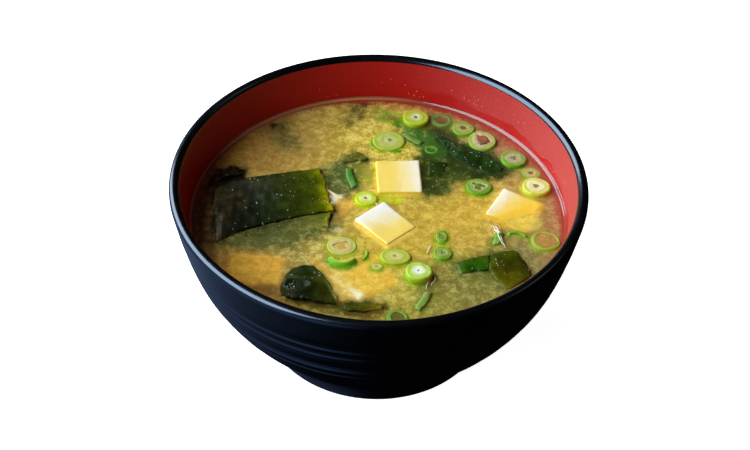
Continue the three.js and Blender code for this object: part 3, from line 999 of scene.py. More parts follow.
def ringSection(hole, radius, tall, rim):
    # (radius, height under the top, share of the way from hole to skin) over the top and down
    dip = onion["dip"]
    section = [(hole + 0.05, -tall, 0.0), (hole, -tall * 0.4, 0.0), (hole + 0.03, -0.25, 0.0)]
    for share in np.linspace(0.0, 1.0, 9):
        low = dip * (1 + math.cos(4 * math.pi * share)) - 0.1 * share**3
        reach = hole + 0.12 + (radius - rim - hole - 0.12) * share
        section.append((reach, low - 2 * dip, 0.05 + 0.85 * share))
    for angle in (20, 40, 60, 80):
        turn = math.radians(angle)
        drop = 0.1 + rim * (1 - math.cos(turn))
        section.append((radius - rim * (1 - math.sin(turn)), -drop, 0.9 + 0.001 * angle))
    for share in (0.25, 0.5, 0.75, 1.0):
        section.append((radius - 0.25 * share**2, -0.1 - rim - (tall - rim - 0.1) * share, 1.0 + share))
    return np.array(section)


def slicePoints(c, section, angles, squash, seed):
    # the ring's section taken round, with a lobed hole and a skin that isn't quite round
    outer = 1 + 0.02 * (np.cos(2 * angles + 1) + np.cos(3 * angles))
    inner = 1 + c["lobes"] * (np.sin(3 * angles + seed) + 0.7 * np.sin(5 * angles + 2 * seed))
    share = ((section[:, 0] - section[:, 0].min()) / np.ptp(section[:, 0]))[:, None]
    share = 1 - (1 - share) ** 2.4
    reach = section[:, :1] * (inner * (1 - share) + outer * share)
    height = np.repeat(section[:, 1:2], len(angles), 1)
    points = np.stack([reach * np.cos(angles), reach * np.sin(angles) * squash, height], axis=-1)
    points[..., 2] += 0.05 * waves(points[..., :2], 3, seed) * (section[:, 1:2] > -0.5)
    points[..., 2] += points[..., 1] * math.tan(math.radians(c["lean"]))
    return points


def makeSlice(node, c, material):
    low, high = (np.array(corner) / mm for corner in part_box(node))
    x, y, _ = (low + high) / 2
    wide, deep = (high - low)[:2] / 2 / 1.015
    rim = min(onion["rim"], (1 - c["hole"]) * wide * 0.45)
    section = ringSection(c["hole"] * wide, wide, high[2] - low[2], rim)
    angles = circleOf(onion["round"])
    points = slicePoints(c, section, angles, deep / wide, seedOf(node))
    points += (x, y, high[2] - deep * math.tan(math.radians(c["lean"])) - 0.05)
    rows, columns = points.shape[:2]
    faces = gridFaces(rows, columns, wrapped=True)
    last = columns * (rows - 1)
    faces += [(last + k, last + (k + 1) % columns, (k + 1) % columns, k) for k in range(columns)]
    heart = c["heart"]
    stops = [
        (0, c["heartTone"]), (heart, c["heartTone"]), (min(heart + 0.36, 0.8), c["fleshTone"]),
        (0.86, c["fleshTone"]), (0.94, c["skinTone"]), (1, c["skinTone"]), (1.2, c["sideTone"]),
    ]
    flat = points.reshape(-1, 3)
    sunk = (1 - softStep(flat[:, 2], level - 0.1, level + 0.4)) * 0.32
    inHeart = 1 - softStep(section[:, 2], heart, heart + 0.15)
    paints = {
        "tone": blendTones(stops, np.repeat(section[:, 2], columns)),
        "under": np.clip(c["under"] + sunk, 0, 1),
        "rays": np.tile(np.abs(angles - math.pi), rows),
        "rayed": np.repeat(inHeart * c["rays"], columns),
    }
    dress(node + "Cut", flat, faces, paints, material, "onion_" + c["slot"], node)
    hollow = c["hole"] * wide + 0.3
    inHole = roundDistance(x, y, hollow, hollow * deep / wide)
    hazeFrom(roundDistance(x, y - 0.5, wide - 0.1, deep - 0.1), c["sideTone"], 0.6, 0.85)
    hazeFrom(inHole, c["holeTone"], 0.4, 0.85)
    skin = (x, y) + roundAbout(1, angles[::2]) * (wide, deep)
    climbedBy(skin, onion["climb"], onion["climbReach"])
    # broth stands in the hole, almost up to its edge
    full = max(high[2] - level - 0.2, 0)
    riseFrom((x, y), wide + 1, lambda points: full * (1 - softStep(inHole(points), -0.1, 0.3)))


onionMaterial = finish("springOnion", onionFinish)
for name, row in onionSlices.items():
    makeSlice("scallion_" + name, dict(zip(onionColumns, row)), onionMaterial)
print("spring onion sliced")


# Leaves, strips and part rings: thin sheets between a far and a near edge

sheetSteps = {"size": 0.5, "edge": 0.7, "leaf": 0.5, "strip": 0.8, "climb": 0.07, "climbReach": 0.6}
plainSheet = {
    # how uneven the long edges and the ends are, how it swells, creases and wrinkles, how many
    # bubbles sit on it and on its near edge, how far broth covers it, and how it climbs it
    "ragged": 0.35, "torn": 0.5, "waves": 2, "ripple": 0.3, "crumple": 0.12, "crease": 3.2, "wrinkled": 0.5,
    "bubbles": 0.2, "foldBubbles": 0, "under": 0, "hazeWander": 0.5, "climb": 0, "climbFrom": (0, 1),
    "curls": (),  # x, y, half width, half depth, height
    "patches": (),  # x, y, half width, half depth, tone, strength
    "clusters": (),  # x, y, size, how many bubbles more
}


def placeOn(edge, share):
    # the points of an edge at each share of its length
    marks = np.linspace(0, 1, len(edge))
    return np.stack([np.interp(share, marks, edge[:, i]) for i in range(3)], axis=-1)


def sheetSurface(c, seed):
    # the middle surface, its shares along and across, and how far its points are from the border
    far, near = np.array(c["far"], float), np.array(c["near"], float)
    length = max(np.linalg.norm(np.diff(edge, axis=0), axis=1).sum() for edge in (far, near))
    breadth = np.linalg.norm(far - near, axis=1).max()
    columns = max(12, round(length / sheetSteps["size"]))
    rows = max(6, round(breadth / sheetSteps["size"]))
    along = np.linspace(0, 1, columns)
    down = np.linspace(0, breadth, rows)[:, None]
    startIn, endIn = (
        np.clip(c["torn"] * (waves(down, 8, s) + 0.4 * waves(down, 2.5, s + 1) + 0.7) / length, 0, 0.12)
        for s in (seed + 6, seed + 8)
    )
    onEdge = startIn[:, None] + (1 - startIn - endIn)[:, None] * along
    farEdge, nearEdge = (placeOn(throughPoints(edge, 160), onEdge) for edge in (far, near))
    width = np.linalg.norm(farEdge - nearEdge, axis=2) + 1e-6
    spots = np.linspace(0, length, columns)[:, None]
    nearIn, farIn = (
        np.clip(c["ragged"] * (waves(spots, 4, s) + waves(spots, 1.8, s + 1) * 0.3 + 0.6) / width, 0, 0.2)
        for s in (seed, seed + 2)
    )
    across = np.linspace(0, 1, rows)[:, None]
    share = nearIn + (1 - nearIn - farIn) * across
    points = nearEdge + share[..., None] * (farEdge - nearEdge)
    swell = np.sin(math.pi * c["waves"] * along + 2 * share) * np.sin(math.pi * share)
    points[..., 2] += level + c["ripple"] * swell
    for x, y, wide, deep, tall in c["curls"]:
        ring = np.hypot((points[..., 0] - x) / wide, (points[..., 1] - y) / deep)
        points[..., 2] += tall * (np.exp(-(((ring - 1) / 0.3) ** 2)) - 0.5 * np.exp(-((ring / 0.6) ** 2)))
    inner = np.sin(math.pi * across) ** 0.5
    points[..., 2] += c["crumple"] * waves(points[..., :2], c["crease"], seed + 4) * inner
    border = np.minimum(np.minimum(across, 1 - across) * width, np.minimum(along, 1 - along) * length)
    return points, along, share, across * width, border


def sheetTones(c, seed, spots, along, share):
    near, far = (blendTones([(stop[0], stop[i]) for stop in c["tones"]], along) for i in (1, 2))
    colours = near + (far - near) * share[:, None]
    for x, y, wide, deep, colour, strength in c["patches"]:
        gap = ((spots[:, 0] - x) / wide) ** 2 + ((spots[:, 1] - y) / deep) ** 2
        over = strength * np.exp(-gap) * (0.8 + 0.2 * waves(spots, 1.8, seed + 9))
        colours += (np.array(tone(*colour)[:3]) - colours) * np.clip(over, 0, 1)[:, None]
    return colours


def makeSheet(node, choices, slot, material, thickness):
    c = {**plainSheet, **choices}
    seed = seedOf(node)
    points, along, share, fromNear, border = sheetSurface(c, seed)
    rows, columns = points.shape[:2]
    half = thickness / 2 * np.sqrt(np.clip(border / sheetSteps["edge"], 0, 1))
    top, bottom = points.copy(), points.copy()
    top[..., 2] += half
    bottom[..., 2] -= half
    count = rows * columns
    faces = gridFaces(rows, columns)
    faces += [f[::-1] for f in gridFaces(rows, columns, first=count)]
    spots = points.reshape(-1, 3)[:, :2]
    colours = sheetTones(c, seed, spots, np.broadcast_to(along, share.shape).ravel(), share.ravel())
    bubbly = c["bubbles"] * (1 + 3 * softStep(waves(points[..., :2], 6, seed + 5).ravel(), 0.2, 0.9))
    for x, y, size, many in c["clusters"]:
        bubbly += many * np.exp(-(np.hypot(spots[:, 0] - x, spots[:, 1] - y) / size) ** 2)
    bubbly += c["foldBubbles"] * np.exp(-((fromNear / 0.6) ** 2)).ravel()
    rounded = softStep(border.ravel(), 0.2, 1.2)
    sunk = (1 - softStep(top[..., 2].ravel(), level + 0.1, level + 0.55)) * (1 - 0.6 * rounded)
    paints = {
        "tone": np.vstack([colours, colours]),
        "bubbly": np.concatenate([bubbly, np.zeros(count)]),
        "under": np.tile(np.clip(sunk + c["under"], 0, 1), 2),
        "rays": np.tile(share.ravel() * 6, 2),
        "rayed": np.full(2 * count, 0.15),
        "wrinkled": np.full(2 * count, c["wrinkled"]),
    }
    flat = np.vstack([top.reshape(-1, 3), bottom.reshape(-1, 3)])
    piece = dress(node + "Sheet", flat, faces, paints, material, slot, node)
    outline = np.vstack([points[0], points[:, -1], points[-1][::-1], points[::-1, 0]])[::2, :2]
    hazeFrom(shapeDistance(outline + (0, -0.3), c["hazeWander"], seed), *c["haze"])

    def climb(spots):
        return sheetSteps["climb"] + c["climb"] * softStep(spots[:, 0], *c["climbFrom"])

    climbedBy(outline[::2], climb, sheetSteps["climbReach"])
    return piece


leafLook = {
    # how the mottling and the raised wrinkles change the leaf's own tone, and the broth on it
    "shades": ((0.5, 0.55, 0.5), (1.35, 1.35, 1.3)),
    "crest": (1.9, 1.9, 1.8),
    "crestMore": (0.006, 0.007, 0.005),
    "broth": (tone(96, 92, 34), tone(168, 156, 80)),
}


def seaweedFinish(start):
    place = objectPlace(start)
    colour = start.painted("tone", "Color")
    mottle = place.noise(3.5, 4, 0.6)
    fine = place.noise(0.6, 3, 0.6)
    shade = mottle * 0.7 + fine * 0.3
    leaf = shade.smooth(0.3, 0.7).between(*(colour.tinted(part) for part in leafLook["shades"]))
    wrinkle = place.noise(2.6, 3, 0.6) - 0.5
    ridge = wrinkle.maths("ABSOLUTE").smooth(0.03, 0.0)
    crest = colour.tinted(leafLook["crest"]).vectors("ADD", leafLook["crestMore"])
    leaf = (ridge * start.painted("wrinkled")).between(leaf, crest)
    cloud = misoCloud(place)
    broth = cloud.between(*leafLook["broth"])
    return {
        "Base Color": (start.painted("under") * (cloud * 0.75 + 0.25)).between(leaf, broth),
        "Roughness": 0.18 + 0.14 * mottle,
        "Specular IOR Level": 0.1,
        "Normal": shade.bump(0.3, 0.6),
    }


leaves = {
    "wakame_left": {
        "far": [(-47.6, 8, -0.35), (-39, 12.2, 0.5), (-28, 15.2, 0.75), (-16.4, 17.9, 0.8)],
        "near": [(-44, -14.6, 0.1), (-38.4, -10.4, 0.45), (-26.6, -5.4, 0.8), (-12, -0.8, 1)],
        "ripple": 0.35, "waves": 3, "torn": 0.45, "ragged": 0.14, "bubbles": 0.16, "foldBubbles": 3,
        "wrinkled": 0.3, "climb": 0.6, "climbFrom": (-19, -14),
        "clusters": [(-34.4, 0.6, 1.4, 4), (-24, 5.8, 2.2, 0.8), (-31.5, -4.4, 2, 0.8)],
        # a painted sheen at the far left, a film of broth, painted shade in two crumpled pits, and two tone
        # patches
        "patches": [(-35.5, 10.4, 5, 2.2, (90, 88, 62), 0.4), (-43.6, -1.5, 3.2, 9, (84, 68, 44), 0.55),
            (-34.6, 0.2, 2.6, 1.8, (6, 8, 4), 0.85), (-39.5, 2.5, 1.6, 2.6, (8, 8, 5), 0.7),
            (-20.5, 12.5, 3.6, 3.2, (70, 84, 14), 0.5), (-26, 0.5, 5, 2.2, (44, 58, 14), 0.5)],
        "tones": [(0, (44, 38, 22), (34, 30, 18)), (0.12, (14, 13, 7), (22, 22, 13)),
            (0.4, (17, 21, 9), (36, 39, 25)), (0.6, (22, 30, 9), (40, 47, 18)),
            (0.8, (40, 48, 6), (58, 66, 11)), (0.93, (72, 78, 4), (78, 84, 6)),
            (0.98, (152, 148, 8), (116, 118, 6)), (1, (204, 190, 14), (150, 146, 8))],
        "haze": ((92, 96, 34), 0.5, 0.5),
    },
    "wakame_left_fold": {
        "far": [(-38.2, -9.8, 0.2), (-26.8, -5, 0.56), (-20.3, -2.8, 0.66), (-12.7, -1, 0.74)],
        "near": [(-37.6, -13.6, -0.9), (-27, -12.6, -0.6), (-20, -9.2, -0.3), (-13.4, -7, 0.1)],
        "ripple": 0.2, "under": 0.2, "bubbles": 0.1, "torn": 0.4,
        "tones": [(0, (70, 66, 34), (30, 34, 16)), (0.5, (98, 102, 54), (54, 62, 26)),
            (0.85, (116, 118, 44), (70, 80, 18)), (1, (136, 134, 22), (104, 110, 12))],
        "haze": ((100, 104, 54), 2.2, 0.72), "hazeWander": 0.9,
    },
    "wakame_left_end": {
        "far": [(-46.6, 13, 0), (-43.8, 16.2, 0.9), (-40.4, 17.8, 0.4)],
        "near": [(-47.2, 10.6, 0.1), (-43.2, 12.2, 1), (-39.4, 13.8, 0.5)],
        "ripple": 0.3, "crumple": 0.3, "bubbles": 0.3,
        "tones": [(0, (24, 22, 12), (22, 20, 12)), (1, (40, 40, 24), (26, 28, 14))],
        "haze": ((34, 32, 16), 1.4, 0.85),
    },
    "wakame_middle": {
        "far": [(-13, 20.6, -0.4), (-9.6, 24.6, 0.3), (-6.4, 26, 0.4), (-3.2, 23.4, 0.3)],
        "near": [(-11.4, 20, -0.4), (-8.6, 21, 0.2), (-6.4, 21.9, 0.4), (-4, 22, 0.3)],
        "under": 0.15,
        "tones": [(0, (78, 84, 34), (104, 92, 40)), (0.4, (66, 88, 34), (112, 96, 22)),
            (1, (58, 88, 10), (96, 88, 6))],
        "haze": ((70, 86, 36), 1.6, 0.7),
    },
    "wakame_back": {
        "far": [(17, 38, -0.1), (20.6, 33.2, 0.4), (25.6, 28.6, 0.7), (31.4, 26.8, 0.7), (36.4, 20.6, 0.2)],
        "near": [(15, 37.2, -0.3), (18.7, 30.2, -0.2), (22.5, 23.8, -0.1), (28.5, 19.8, -0.1),
            (35.4, 18.4, -0.2)],
        "ripple": 0.2, "waves": 4, "crumple": 0.14, "crease": 2.6, "bubbles": 0.9, "under": -1,
        "wrinkled": 0.12,
        "tones": [(0, (40, 70, 30), (44, 74, 34)), (0.25, (26, 52, 14), (34, 58, 24)),
            (0.7, (24, 42, 10), (32, 54, 18)), (1, (30, 54, 16), (38, 66, 26))],
        "haze": ((26, 48, 20), 2.6, 0.85), "hazeWander": 1.4,
    },
    "wakame_back_branch": {
        "far": [(20.4, 22.4, 0), (18.4, 15.8, -0.1), (16.8, 10.4, -0.4)],
        "near": [(14.2, 24.4, 0), (13.6, 16.6, -0.1), (13.8, 10.6, -0.4)],
        "crumple": 0.1, "bubbles": 0.4, "under": -0.6, "wrinkled": 0.15,
        "tones": [(0, (24, 46, 12), (26, 48, 14)), (0.5, (48, 60, 14), (36, 52, 16)),
            (1, (84, 92, 34), (74, 84, 30))],
        "haze": ((44, 56, 18), 2.4, 0.8), "hazeWander": 1.4,
    },
    "wakame_right": {
        "far": [(37.4, -13.8, 0.2), (39, -16.4, 0.6), (41.2, -21, 0.4), (42.2, -23.6, 0)],
        "near": [(30, -16.4, 0.15), (30.3, -22.4, 0.5), (32.8, -27.4, 0.6), (36, -29.6, 0)],
        "ripple": 0.3, "bubbles": 0.16, "torn": 0.3, "ragged": 0.2, "under": -0.45, "wrinkled": 0.2,
        "clusters": [(33.2, -19.6, 1.1, 9)],
        "patches": [(35.8, -20, 2.8, 2.4, (30, 34, 5), 0.55), (38.6, -17, 1.4, 3, (44, 46, 6), 0.5)],
        "tones": [(0, (54, 72, 6), (66, 78, 8)), (0.4, (78, 80, 6), (44, 47, 4)),
            (1, (96, 94, 12), (56, 56, 7))],
        "haze": ((88, 92, 44), 2, 0.65),
    },
    "wakame_right_tip": {
        "far": [(21, -19.8, -0.2), (25, -18.1, 0.3), (31, -16.3, 0.3)],
        "near": [(22.4, -24.2, -0.2), (25.6, -23.4, 0.3), (31, -22.4, 0.4)],
        "bubbles": 0.3, "torn": 0.2, "ragged": 0.2, "under": -0.6, "wrinkled": 0.2,
        "tones": [(0, (84, 116, 40), (60, 84, 28)), (0.4, (26, 78, 4), (44, 78, 4)),
            (1, (36, 76, 4), (56, 72, 4))],
        "haze": ((74, 96, 36), 1.6, 0.65),
    },
    "wakame_front": {
        "far": [(-25.4, -30, 0), (-22.9, -24.8, 0.8), (-17.6, -23.3, 1.2), (-13.8, -27, 0.9),
            (-9.8, -35.2, 0.2)],
        "near": [(-25.2, -34.4, 0), (-22, -36, 0.7), (-18.4, -36.6, 1), (-14, -37.2, 0.7),
            (-10.2, -37.2, 0.2)],
        "ripple": 0.9, "waves": 1, "crumple": 0.25, "crease": 4, "bubbles": 0.25, "torn": 0.3,
        "curls": [(-20.6, -31.9, 3.6, 2.2, 1)], "wrinkled": 0.2, "under": -0.4,
        "clusters": [(-21.8, -32, 1.1, 16), (-15.5, -26.5, 1.5, 3)],
        # a pale band, painted shade inside the curl, and an olive patch
        "patches": [(-20.6, -29.4, 4, 0.8, (70, 78, 40), 0.6), (-20.6, -32, 2.4, 1.2, (8, 10, 5), 0.8),
            (-15, -28.5, 1.4, 3.5, (74, 80, 22), 0.6)],
        "tones": [(0, (44, 50, 22), (58, 64, 28)), (0.4, (22, 30, 12), (34, 46, 16)),
            (0.75, (38, 46, 12), (62, 70, 18)), (1, (66, 68, 20), (84, 88, 22))],
        "haze": ((82, 84, 36), 1.4, 0.7),
    },
    "wakame_front_band": {
        "far": [(-8.4, -36.3, 0.2), (-4.5, -35.9, 0.5), (-0.5, -36.3, 0.4), (2.6, -37, 0)],
        "near": [(-9, -38.8, 0.1), (-5.5, -39.8, 0.4), (-2, -39.5, 0.4), (2.2, -38.3, 0)],
        "bubbles": 0.5, "under": -0.3, "wrinkled": 0.3,
        "tones": [(0, (54, 58, 14), (66, 68, 18)), (0.5, (72, 70, 14), (86, 82, 18)),
            (1, (134, 112, 24), (120, 106, 28))],
        "haze": ((90, 84, 28), 1.6, 0.75),
    },
}

seaweedMaterial = finish("wakame", seaweedFinish)
leafPieces = []
for node, choices in leaves.items():
    leafPieces.append(makeSheet(node, choices, "seaweed", seaweedMaterial, sheetSteps["leaf"]))

strips = {
    "scallion_strip_back": {
        "far": [(7.4, 36.4, 0.1), (10.6, 33.6, 0.3), (13.2, 31.6, 0.1)],
        "near": [(6, 34.8, 0), (9, 32, 0.3), (12, 30.2, 0.1)],
        "under": 0.1,
        "tones": [(0, (66, 138, 26), (86, 150, 34)), (1, (40, 128, 10), (60, 140, 20))],
    },
    "scallion_strip_middle": {
        "far": [(-7.6, 18.8, 0.1), (-7, 14.4, 0.4), (-5.6, 10.2, 0.1)],
        "near": [(-9.9, 18.6, 0.1), (-9.4, 14.2, 0.4), (-8, 10, 0.1)],
        "tones": [(0, (46, 120, 10), (64, 136, 16)), (1, (40, 130, 6), (64, 144, 14))],
    },
    "scallion_strip_front": {
        "far": [(15.4, -31.2, 0), (14, -35, 0.3), (12, -38.6, 0)],
        "near": [(13, -31, 0), (11.6, -34.6, 0.3), (9.9, -37.8, 0)],
        "under": 0.12,
        "tones": [(0, (110, 152, 60), (124, 160, 70)), (1, (92, 150, 44), (112, 160, 52))],
    },
    "scallion_strip_right": {
        "far": [(35, -7, 0.4), (34.5, -9.8, 0.5), (33.6, -12.4, 0.1)],
        "near": [(33, -6.8, 0.4), (32.3, -9.6, 0.5), (31.6, -12, 0.1)],
        "tones": [(0, (74, 144, 10), (92, 158, 20)), (1, (88, 152, 6), (112, 166, 14))],
    },
}
stripLook = {"ragged": 0.1, "crumple": 0.04, "ripple": 0.2, "bubbles": 0, "haze": ((96, 142, 44), 0.9, 0.7)}
for node, choices in strips.items():
    makeSheet(node, {**stripLook, **choices}, "onion_green", onionMaterial, sheetSteps["strip"])

partRingColumns = ("x", "y", "radius", "wall", "from", "to", "tall", "rise", "lean", "lift", "inner")
partRings = {
    # place, radius and wall, where it starts and ends in degrees, height, how far it stands out,
    # how far it leans in, how far its haze lies in front, and the tone of its inner side
    "scallion_crescent": (-9.2, -18.3, 4.5, 1.1, 194, 340, 2.6, 1.2, 0.5, 0.9, (214, 204, 96)),
    "scallion_arc_front": (-5.4, -17.2, 3.1, 0.8, -52, 22, 1.4, 0.4, 0, 0.4, (176, 190, 60)),
    "scallion_arc_right": (38.4, -10, 3.4, 0.8, 25, 140, 1.6, 0.6, 0, 0.4, (120, 160, 34)),
}


partRingLook = {
    "steps": 40, "sides": 20, "climb": 0.12, "climbReach": 0.6,
    # its tones from the skin inwards, before the inner side's own, and that of its haze
    "skin": [(0, (110, 190, 10)), (0.4, (124, 190, 20))], "haze": (86, 158, 22),
}


def makePartRing(node, c, material):
    # a curved band of skin on edge, its section rounded
    look = partRingLook
    steps, sides = look["steps"], look["sides"]
    angles = np.radians(np.linspace(c["from"], c["to"], steps))
    half = roundAbout(1, circleOf(sides))
    half = np.sign(half) * np.abs(half) ** 0.5
    fromEnd = np.minimum(np.arange(steps), steps - 1 - np.arange(steps))
    ends = np.clip(fromEnd / 3, 0, 1)[:, None] ** 0.5
    across = c["radius"] - c["wall"] / 2 + half[:, 0] * c["wall"] / 2 * np.maximum(ends, 0.15)
    height = level + c["rise"] - c["tall"] / 2 + half[:, 1] * c["tall"] / 2 * np.maximum(ends, 0.4)
    across -= c["lean"] * (height - level)
    x = c["x"] + across * np.cos(angles)[:, None]
    y = c["y"] + across * np.sin(angles)[:, None]
    points = np.stack([x, y, height], -1).reshape(-1, 3)
    inward = np.tile(0.5 - half[:, 0] / 2 + 0.25 * half[:, 1], steps)
    paints = {
        "tone": blendTones([*look["skin"], (0.9, c["inner"])], inward),
        "under": 0.4 * (1 - softStep(points[:, 2], level, level + 0.5)),
        "rays": np.repeat(angles, sides),
        "rayed": np.zeros(len(points)),
    }
    dress(node + "Cut", points, tubeFaces(steps, sides), paints, material, "onion_green", node)
    outline = np.vstack([
        (c["x"], c["y"]) + roundAbout(radius, turned)
        for radius, turned in ((c["radius"], angles[::4]), (c["radius"] - c["wall"], angles[::-4]))
    ])
    hazeFrom(shapeDistance(outline - (0, c["lift"])), look["haze"], 0.5, 0.85)
    climbedBy(outline, look["climb"], look["climbReach"])


for node, row in partRings.items():
    makePartRing(node, dict(zip(partRingColumns, row)), onionMaterial)
print("leaves, strips and part rings laid")


# Things wholly under the surface show only as a tint in the broth

def sunkDie(x, y, depth, wide, deep, turn):
    axes = np.array(Matrix.Rotation(math.radians(turn), 3, "Z").transposed())
    return np.array([x, y, level - depth - 5]), axes, np.array([wide / 2, deep / 2, 5])


# a die under the front left, its far side lit, with painted shade in brown on its near side
dieShade = [(-40.5, -28), (-28, -31.5), (-25.8, -34.5), (-36, -34)]
hazeFrom(shapeDistance(dieShade, 0.3, 31), (178, 136, 72), 1.8, 0.7)
dieHaze(*sunkDie(-32.6, -24.2, 1.2, 13.6, 10.4, -4), ((238, 186, 72), (214, 160, 66)), 1.2)

# ghost slices: place, size, tone, how plain
ghosts = [
    (0.6, 44.6, 2.9, 3.2, (150, 164, 60), 0.6),
    (41.1, -2.5, 4.6, 3.2, (222, 214, 96), 0.5),
    (3.1, 5.8, 3.8, 2.0, (206, 204, 46), 0.95),
    (-11.1, -7.7, 0.9, 0.7, (226, 208, 158), 0.75),
]
for x, y, wide, deep, colour, strength in ghosts:
    hazeFrom(roundDistance(x, y, wide, deep, wide * 0.4), colour, 0.5, strength)

hangings = [
    # outline, tone, reach and strength of what hangs under the surface, deepest first
    ([(13, -24), (21, -21), (31, -26), (39, -30), (34, -34), (25, -37), (15, -39), (12, -32)],
     (122, 124, 62), 4, 0.5),
    ([(36, -13), (43, -14), (47, -18), (44, -24), (41, -21)], (128, 130, 76), 2.6, 0.68),
    ([(-44, -14.7), (-28, -4.4), (-14, 1), (-13, -5.5), (-18, -10), (-23, -13.7), (-35, -15.4)],
     (102, 106, 54), 2.6, 0.74),
    ([(-51.6, 7.6), (-46, 10), (-42.4, 4.9), (-42.5, -9.1), (-47.8, -13.8), (-50.6, -3.6)],
     (146, 106, 64), 1.6, 0.85),
    ([(-48.8, 9), (-47.2, 16), (-43, 18.2), (-38.8, 16), (-38, 9), (-45.5, 4.8)], (34, 32, 16), 0.9, 0.93),
    ([(-47.2, 8.6), (-43, 9.8), (-41, 0), (-42.6, -12.4), (-44.6, -13.6), (-46.2, -6)],
     (36, 31, 18), 1, 0.93),
    ([(-16.5, 17.9), (-15.3, 10.3), (-9.5, 7.1), (-6.4, 10.7), (-7.5, 18.5), (-12, 19.5)],
     (88, 102, 54), 1.6, 0.78),
    ([(10, 38), (16, 43.5), (21, 35), (24.5, 30), (33, 26.5), (38, 21), (34, 19), (29, 16), (21, 16),
      (19.5, 10.4), (13, 8.3), (12, 14.5), (12.3, 24), (13.2, 30.7)], (78, 94, 38), 2.4, 0.78),
    ([(17.5, 37), (24, 30), (30, 28.5), (36.5, 22), (34.5, 18.5), (28, 17), (21, 21), (17, 28)],
     (34, 54, 22), 1.5, 0.84),
    ([(12.5, 26.4), (15.6, 25.6), (20.9, 24), (26.7, 22.4), (26.7, 20.1), (22.5, 18.6), (19.6, 17.8),
      (18.1, 14.8), (17.5, 11.2), (16, 9.6), (14, 10.1), (12.5, 11)], (56, 70, 24), 0.9, 0.84),
    ([(5.4, 41.4), (9, 40), (12, 36.5), (15.6, 32.6), (18, 28.5), (16.8, 25.7), (14, 29), (11, 32.6),
      (7, 36)], (64, 120, 42), 1.4, 0.66),
    ([(-6.2, 51), (-4.6, 50.6), (-5.6, 44), (-10, 39.5), (-9, 46)], (82, 88, 44), 2.2, 0.6),
    ([(-5.6, 51.2), (-4.6, 51), (-4.9, 49.4), (-6, 49.6)], (30, 40, 14), 0.6, 0.9),
    ([(-33.4, 37.6), (-29.3, 38.7), (-24.6, 28), (-29.4, 28.6)], (88, 88, 46), 2.2, 0.62),
    ([(-32.4, 37.8), (-30.8, 38.2), (-30.8, 37.2), (-32.2, 36.9)], (36, 38, 14), 0.5, 0.8),
    ([(-24, -37.5), (0, -41.5), (6, -38.5), (-12, -36)], (118, 102, 42), 1.8, 0.6),
    ([(-14.5, -27.5), (-11, -34.5), (-2, -35.8), (2, -37.5), (-6, -39.5), (-12, -38), (-20, -36.6)],
     (90, 84, 30), 0.9, 0.85),
    ([(-15, -35.6), (-9.4, -35.4), (-2, -36.4), (1.4, -37.6), (-5, -39), (-11, -38.2)],
     (74, 70, 20), 0.6, 0.7),
    # painted light on the lit side and on the edge of the die under the front, then painted shade on the
    # near side of the one left of it
    ([(-17.8, -18.9), (-10.7, -25.2), (-4.5, -34.1), (-9, -34.6), (-14, -27)], (216, 178, 80), 0.7, 0.75),
    ([(-5.2, -34.3), (-4.2, -33.9), (-10.4, -24.9), (-11.2, -25.5)], (255, 232, 130), 0.5, 0.35),
    ([(-28.8, -29.6), (-27.4, -30.4), (-26, -33.4), (-30.4, -33.6), (-33, -31.4)],
     (136, 98, 50), 0.9, 0.75),
]
crisp = [
    # the same with a cleaner outline, and how far that wanders: the green skin under the big slice,
    # the corner of the die by the big leaf, and a painted highlight on the edge and corner of the die under
    # the front
    ([(-3.3, 30.6), (-1.3, 28.8), (1.7, 27.4), (4.3, 26.8), (6.1, 27.3), (4.3, 28.5), (1.6, 29.5),
      (-1.4, 31.2)], (78, 158, 20), 0.3, 0.9, 0.1),
    ([(-13.7, 5.8), (-10.6, 6.8), (-11.4, 5.5), (-13.1, 3)], (252, 246, 226), 0.35, 0.95, 0.2),
    ([(-10.2, -25.2), (-6.8, -29.7), (-3.5, -32.6), (-4.7, -34.5), (-8, -32), (-11.4, -26.4)],
     (248, 224, 132), 0.9, 0.6, 0.2),
    ([(-6.7, -30.6), (-5.1, -32.1), (-3.7, -33.2), (-4.5, -34.6), (-5.2, -33)],
     (252, 246, 220), 0.4, 0.85, 0.1),
]
for number, (outline, colour, reach, strength) in enumerate(hangings):
    hazeFrom(shapeDistance(outline, 0.9, 40 + number), colour, reach, strength)
for number, (outline, colour, reach, strength, wander) in enumerate(crisp):
    hazeFrom(shapeDistance(outline, wander, 61 + number), colour, reach, strength)
print("sunken things noted:", len(sunken))


# Broth

broth = {
    "step": 0.44, "edgeStep": 0.2, "edgeBand": 4.2, "climb": 0.9, "climbReach": 0.3,
    # how the red wall shows through: direction in degrees, tone, reach, more reach that way, strength
    "thinning": [(26, (172, 126, 90), 1.6, 4.4, 0.6), (50, (160, 52, 38), 0.9, 2.3, 0.93)],
    # and a painted highlight where its very edge catches the light: direction, tone, strength and width
    "litEdge": (140, (255, 168, 110), 0.85, 0.28),
    "gap": 0.35,  # between the hidden body and the wall
    "bottomGap": 1.5,
}
brothTints = [
    # x, y, the broth's own tone there and how lumpy it is
    (24, 0, (224, 190, 78), 0.85),
    (8, 26, (226, 203, 90), 1.9),
    (-8, 29, (226, 202, 92), 1.6),
    (-22, 28, (190, 158, 82), 0.9),
    (-36, 24, (180, 140, 68), 1.0),
    (-18, -14, (220, 200, 104), 2.0),
    (-22, -18, (186, 172, 98), 1.8),
    (-34, -24, (214, 160, 80), 1.2),
    (2, -12, (218, 188, 70), 0.8),
    (8, -36, (206, 190, 88), 1.3),
    (30, -32, (168, 162, 86), 2.3),
    (46, -6, (180, 152, 90), 1.1),
    (34, 34, (190, 148, 98), 1.0),
]


def zipRings(inner, outer):
    # triangles between two rings of evenly spread points
    faces, i, j = [], 0, 0
    n, m = len(inner), len(outer)
    while i < n or j < m:
        if j < m and (i == n or (j + 1) * n <= (i + 1) * m):
            faces.append((inner[i % n], outer[j % m], outer[(j + 1) % m]))
            j += 1
        else:
            faces.append((inner[i % n], outer[j % m], inner[(i + 1) % n]))
            i += 1
    return faces


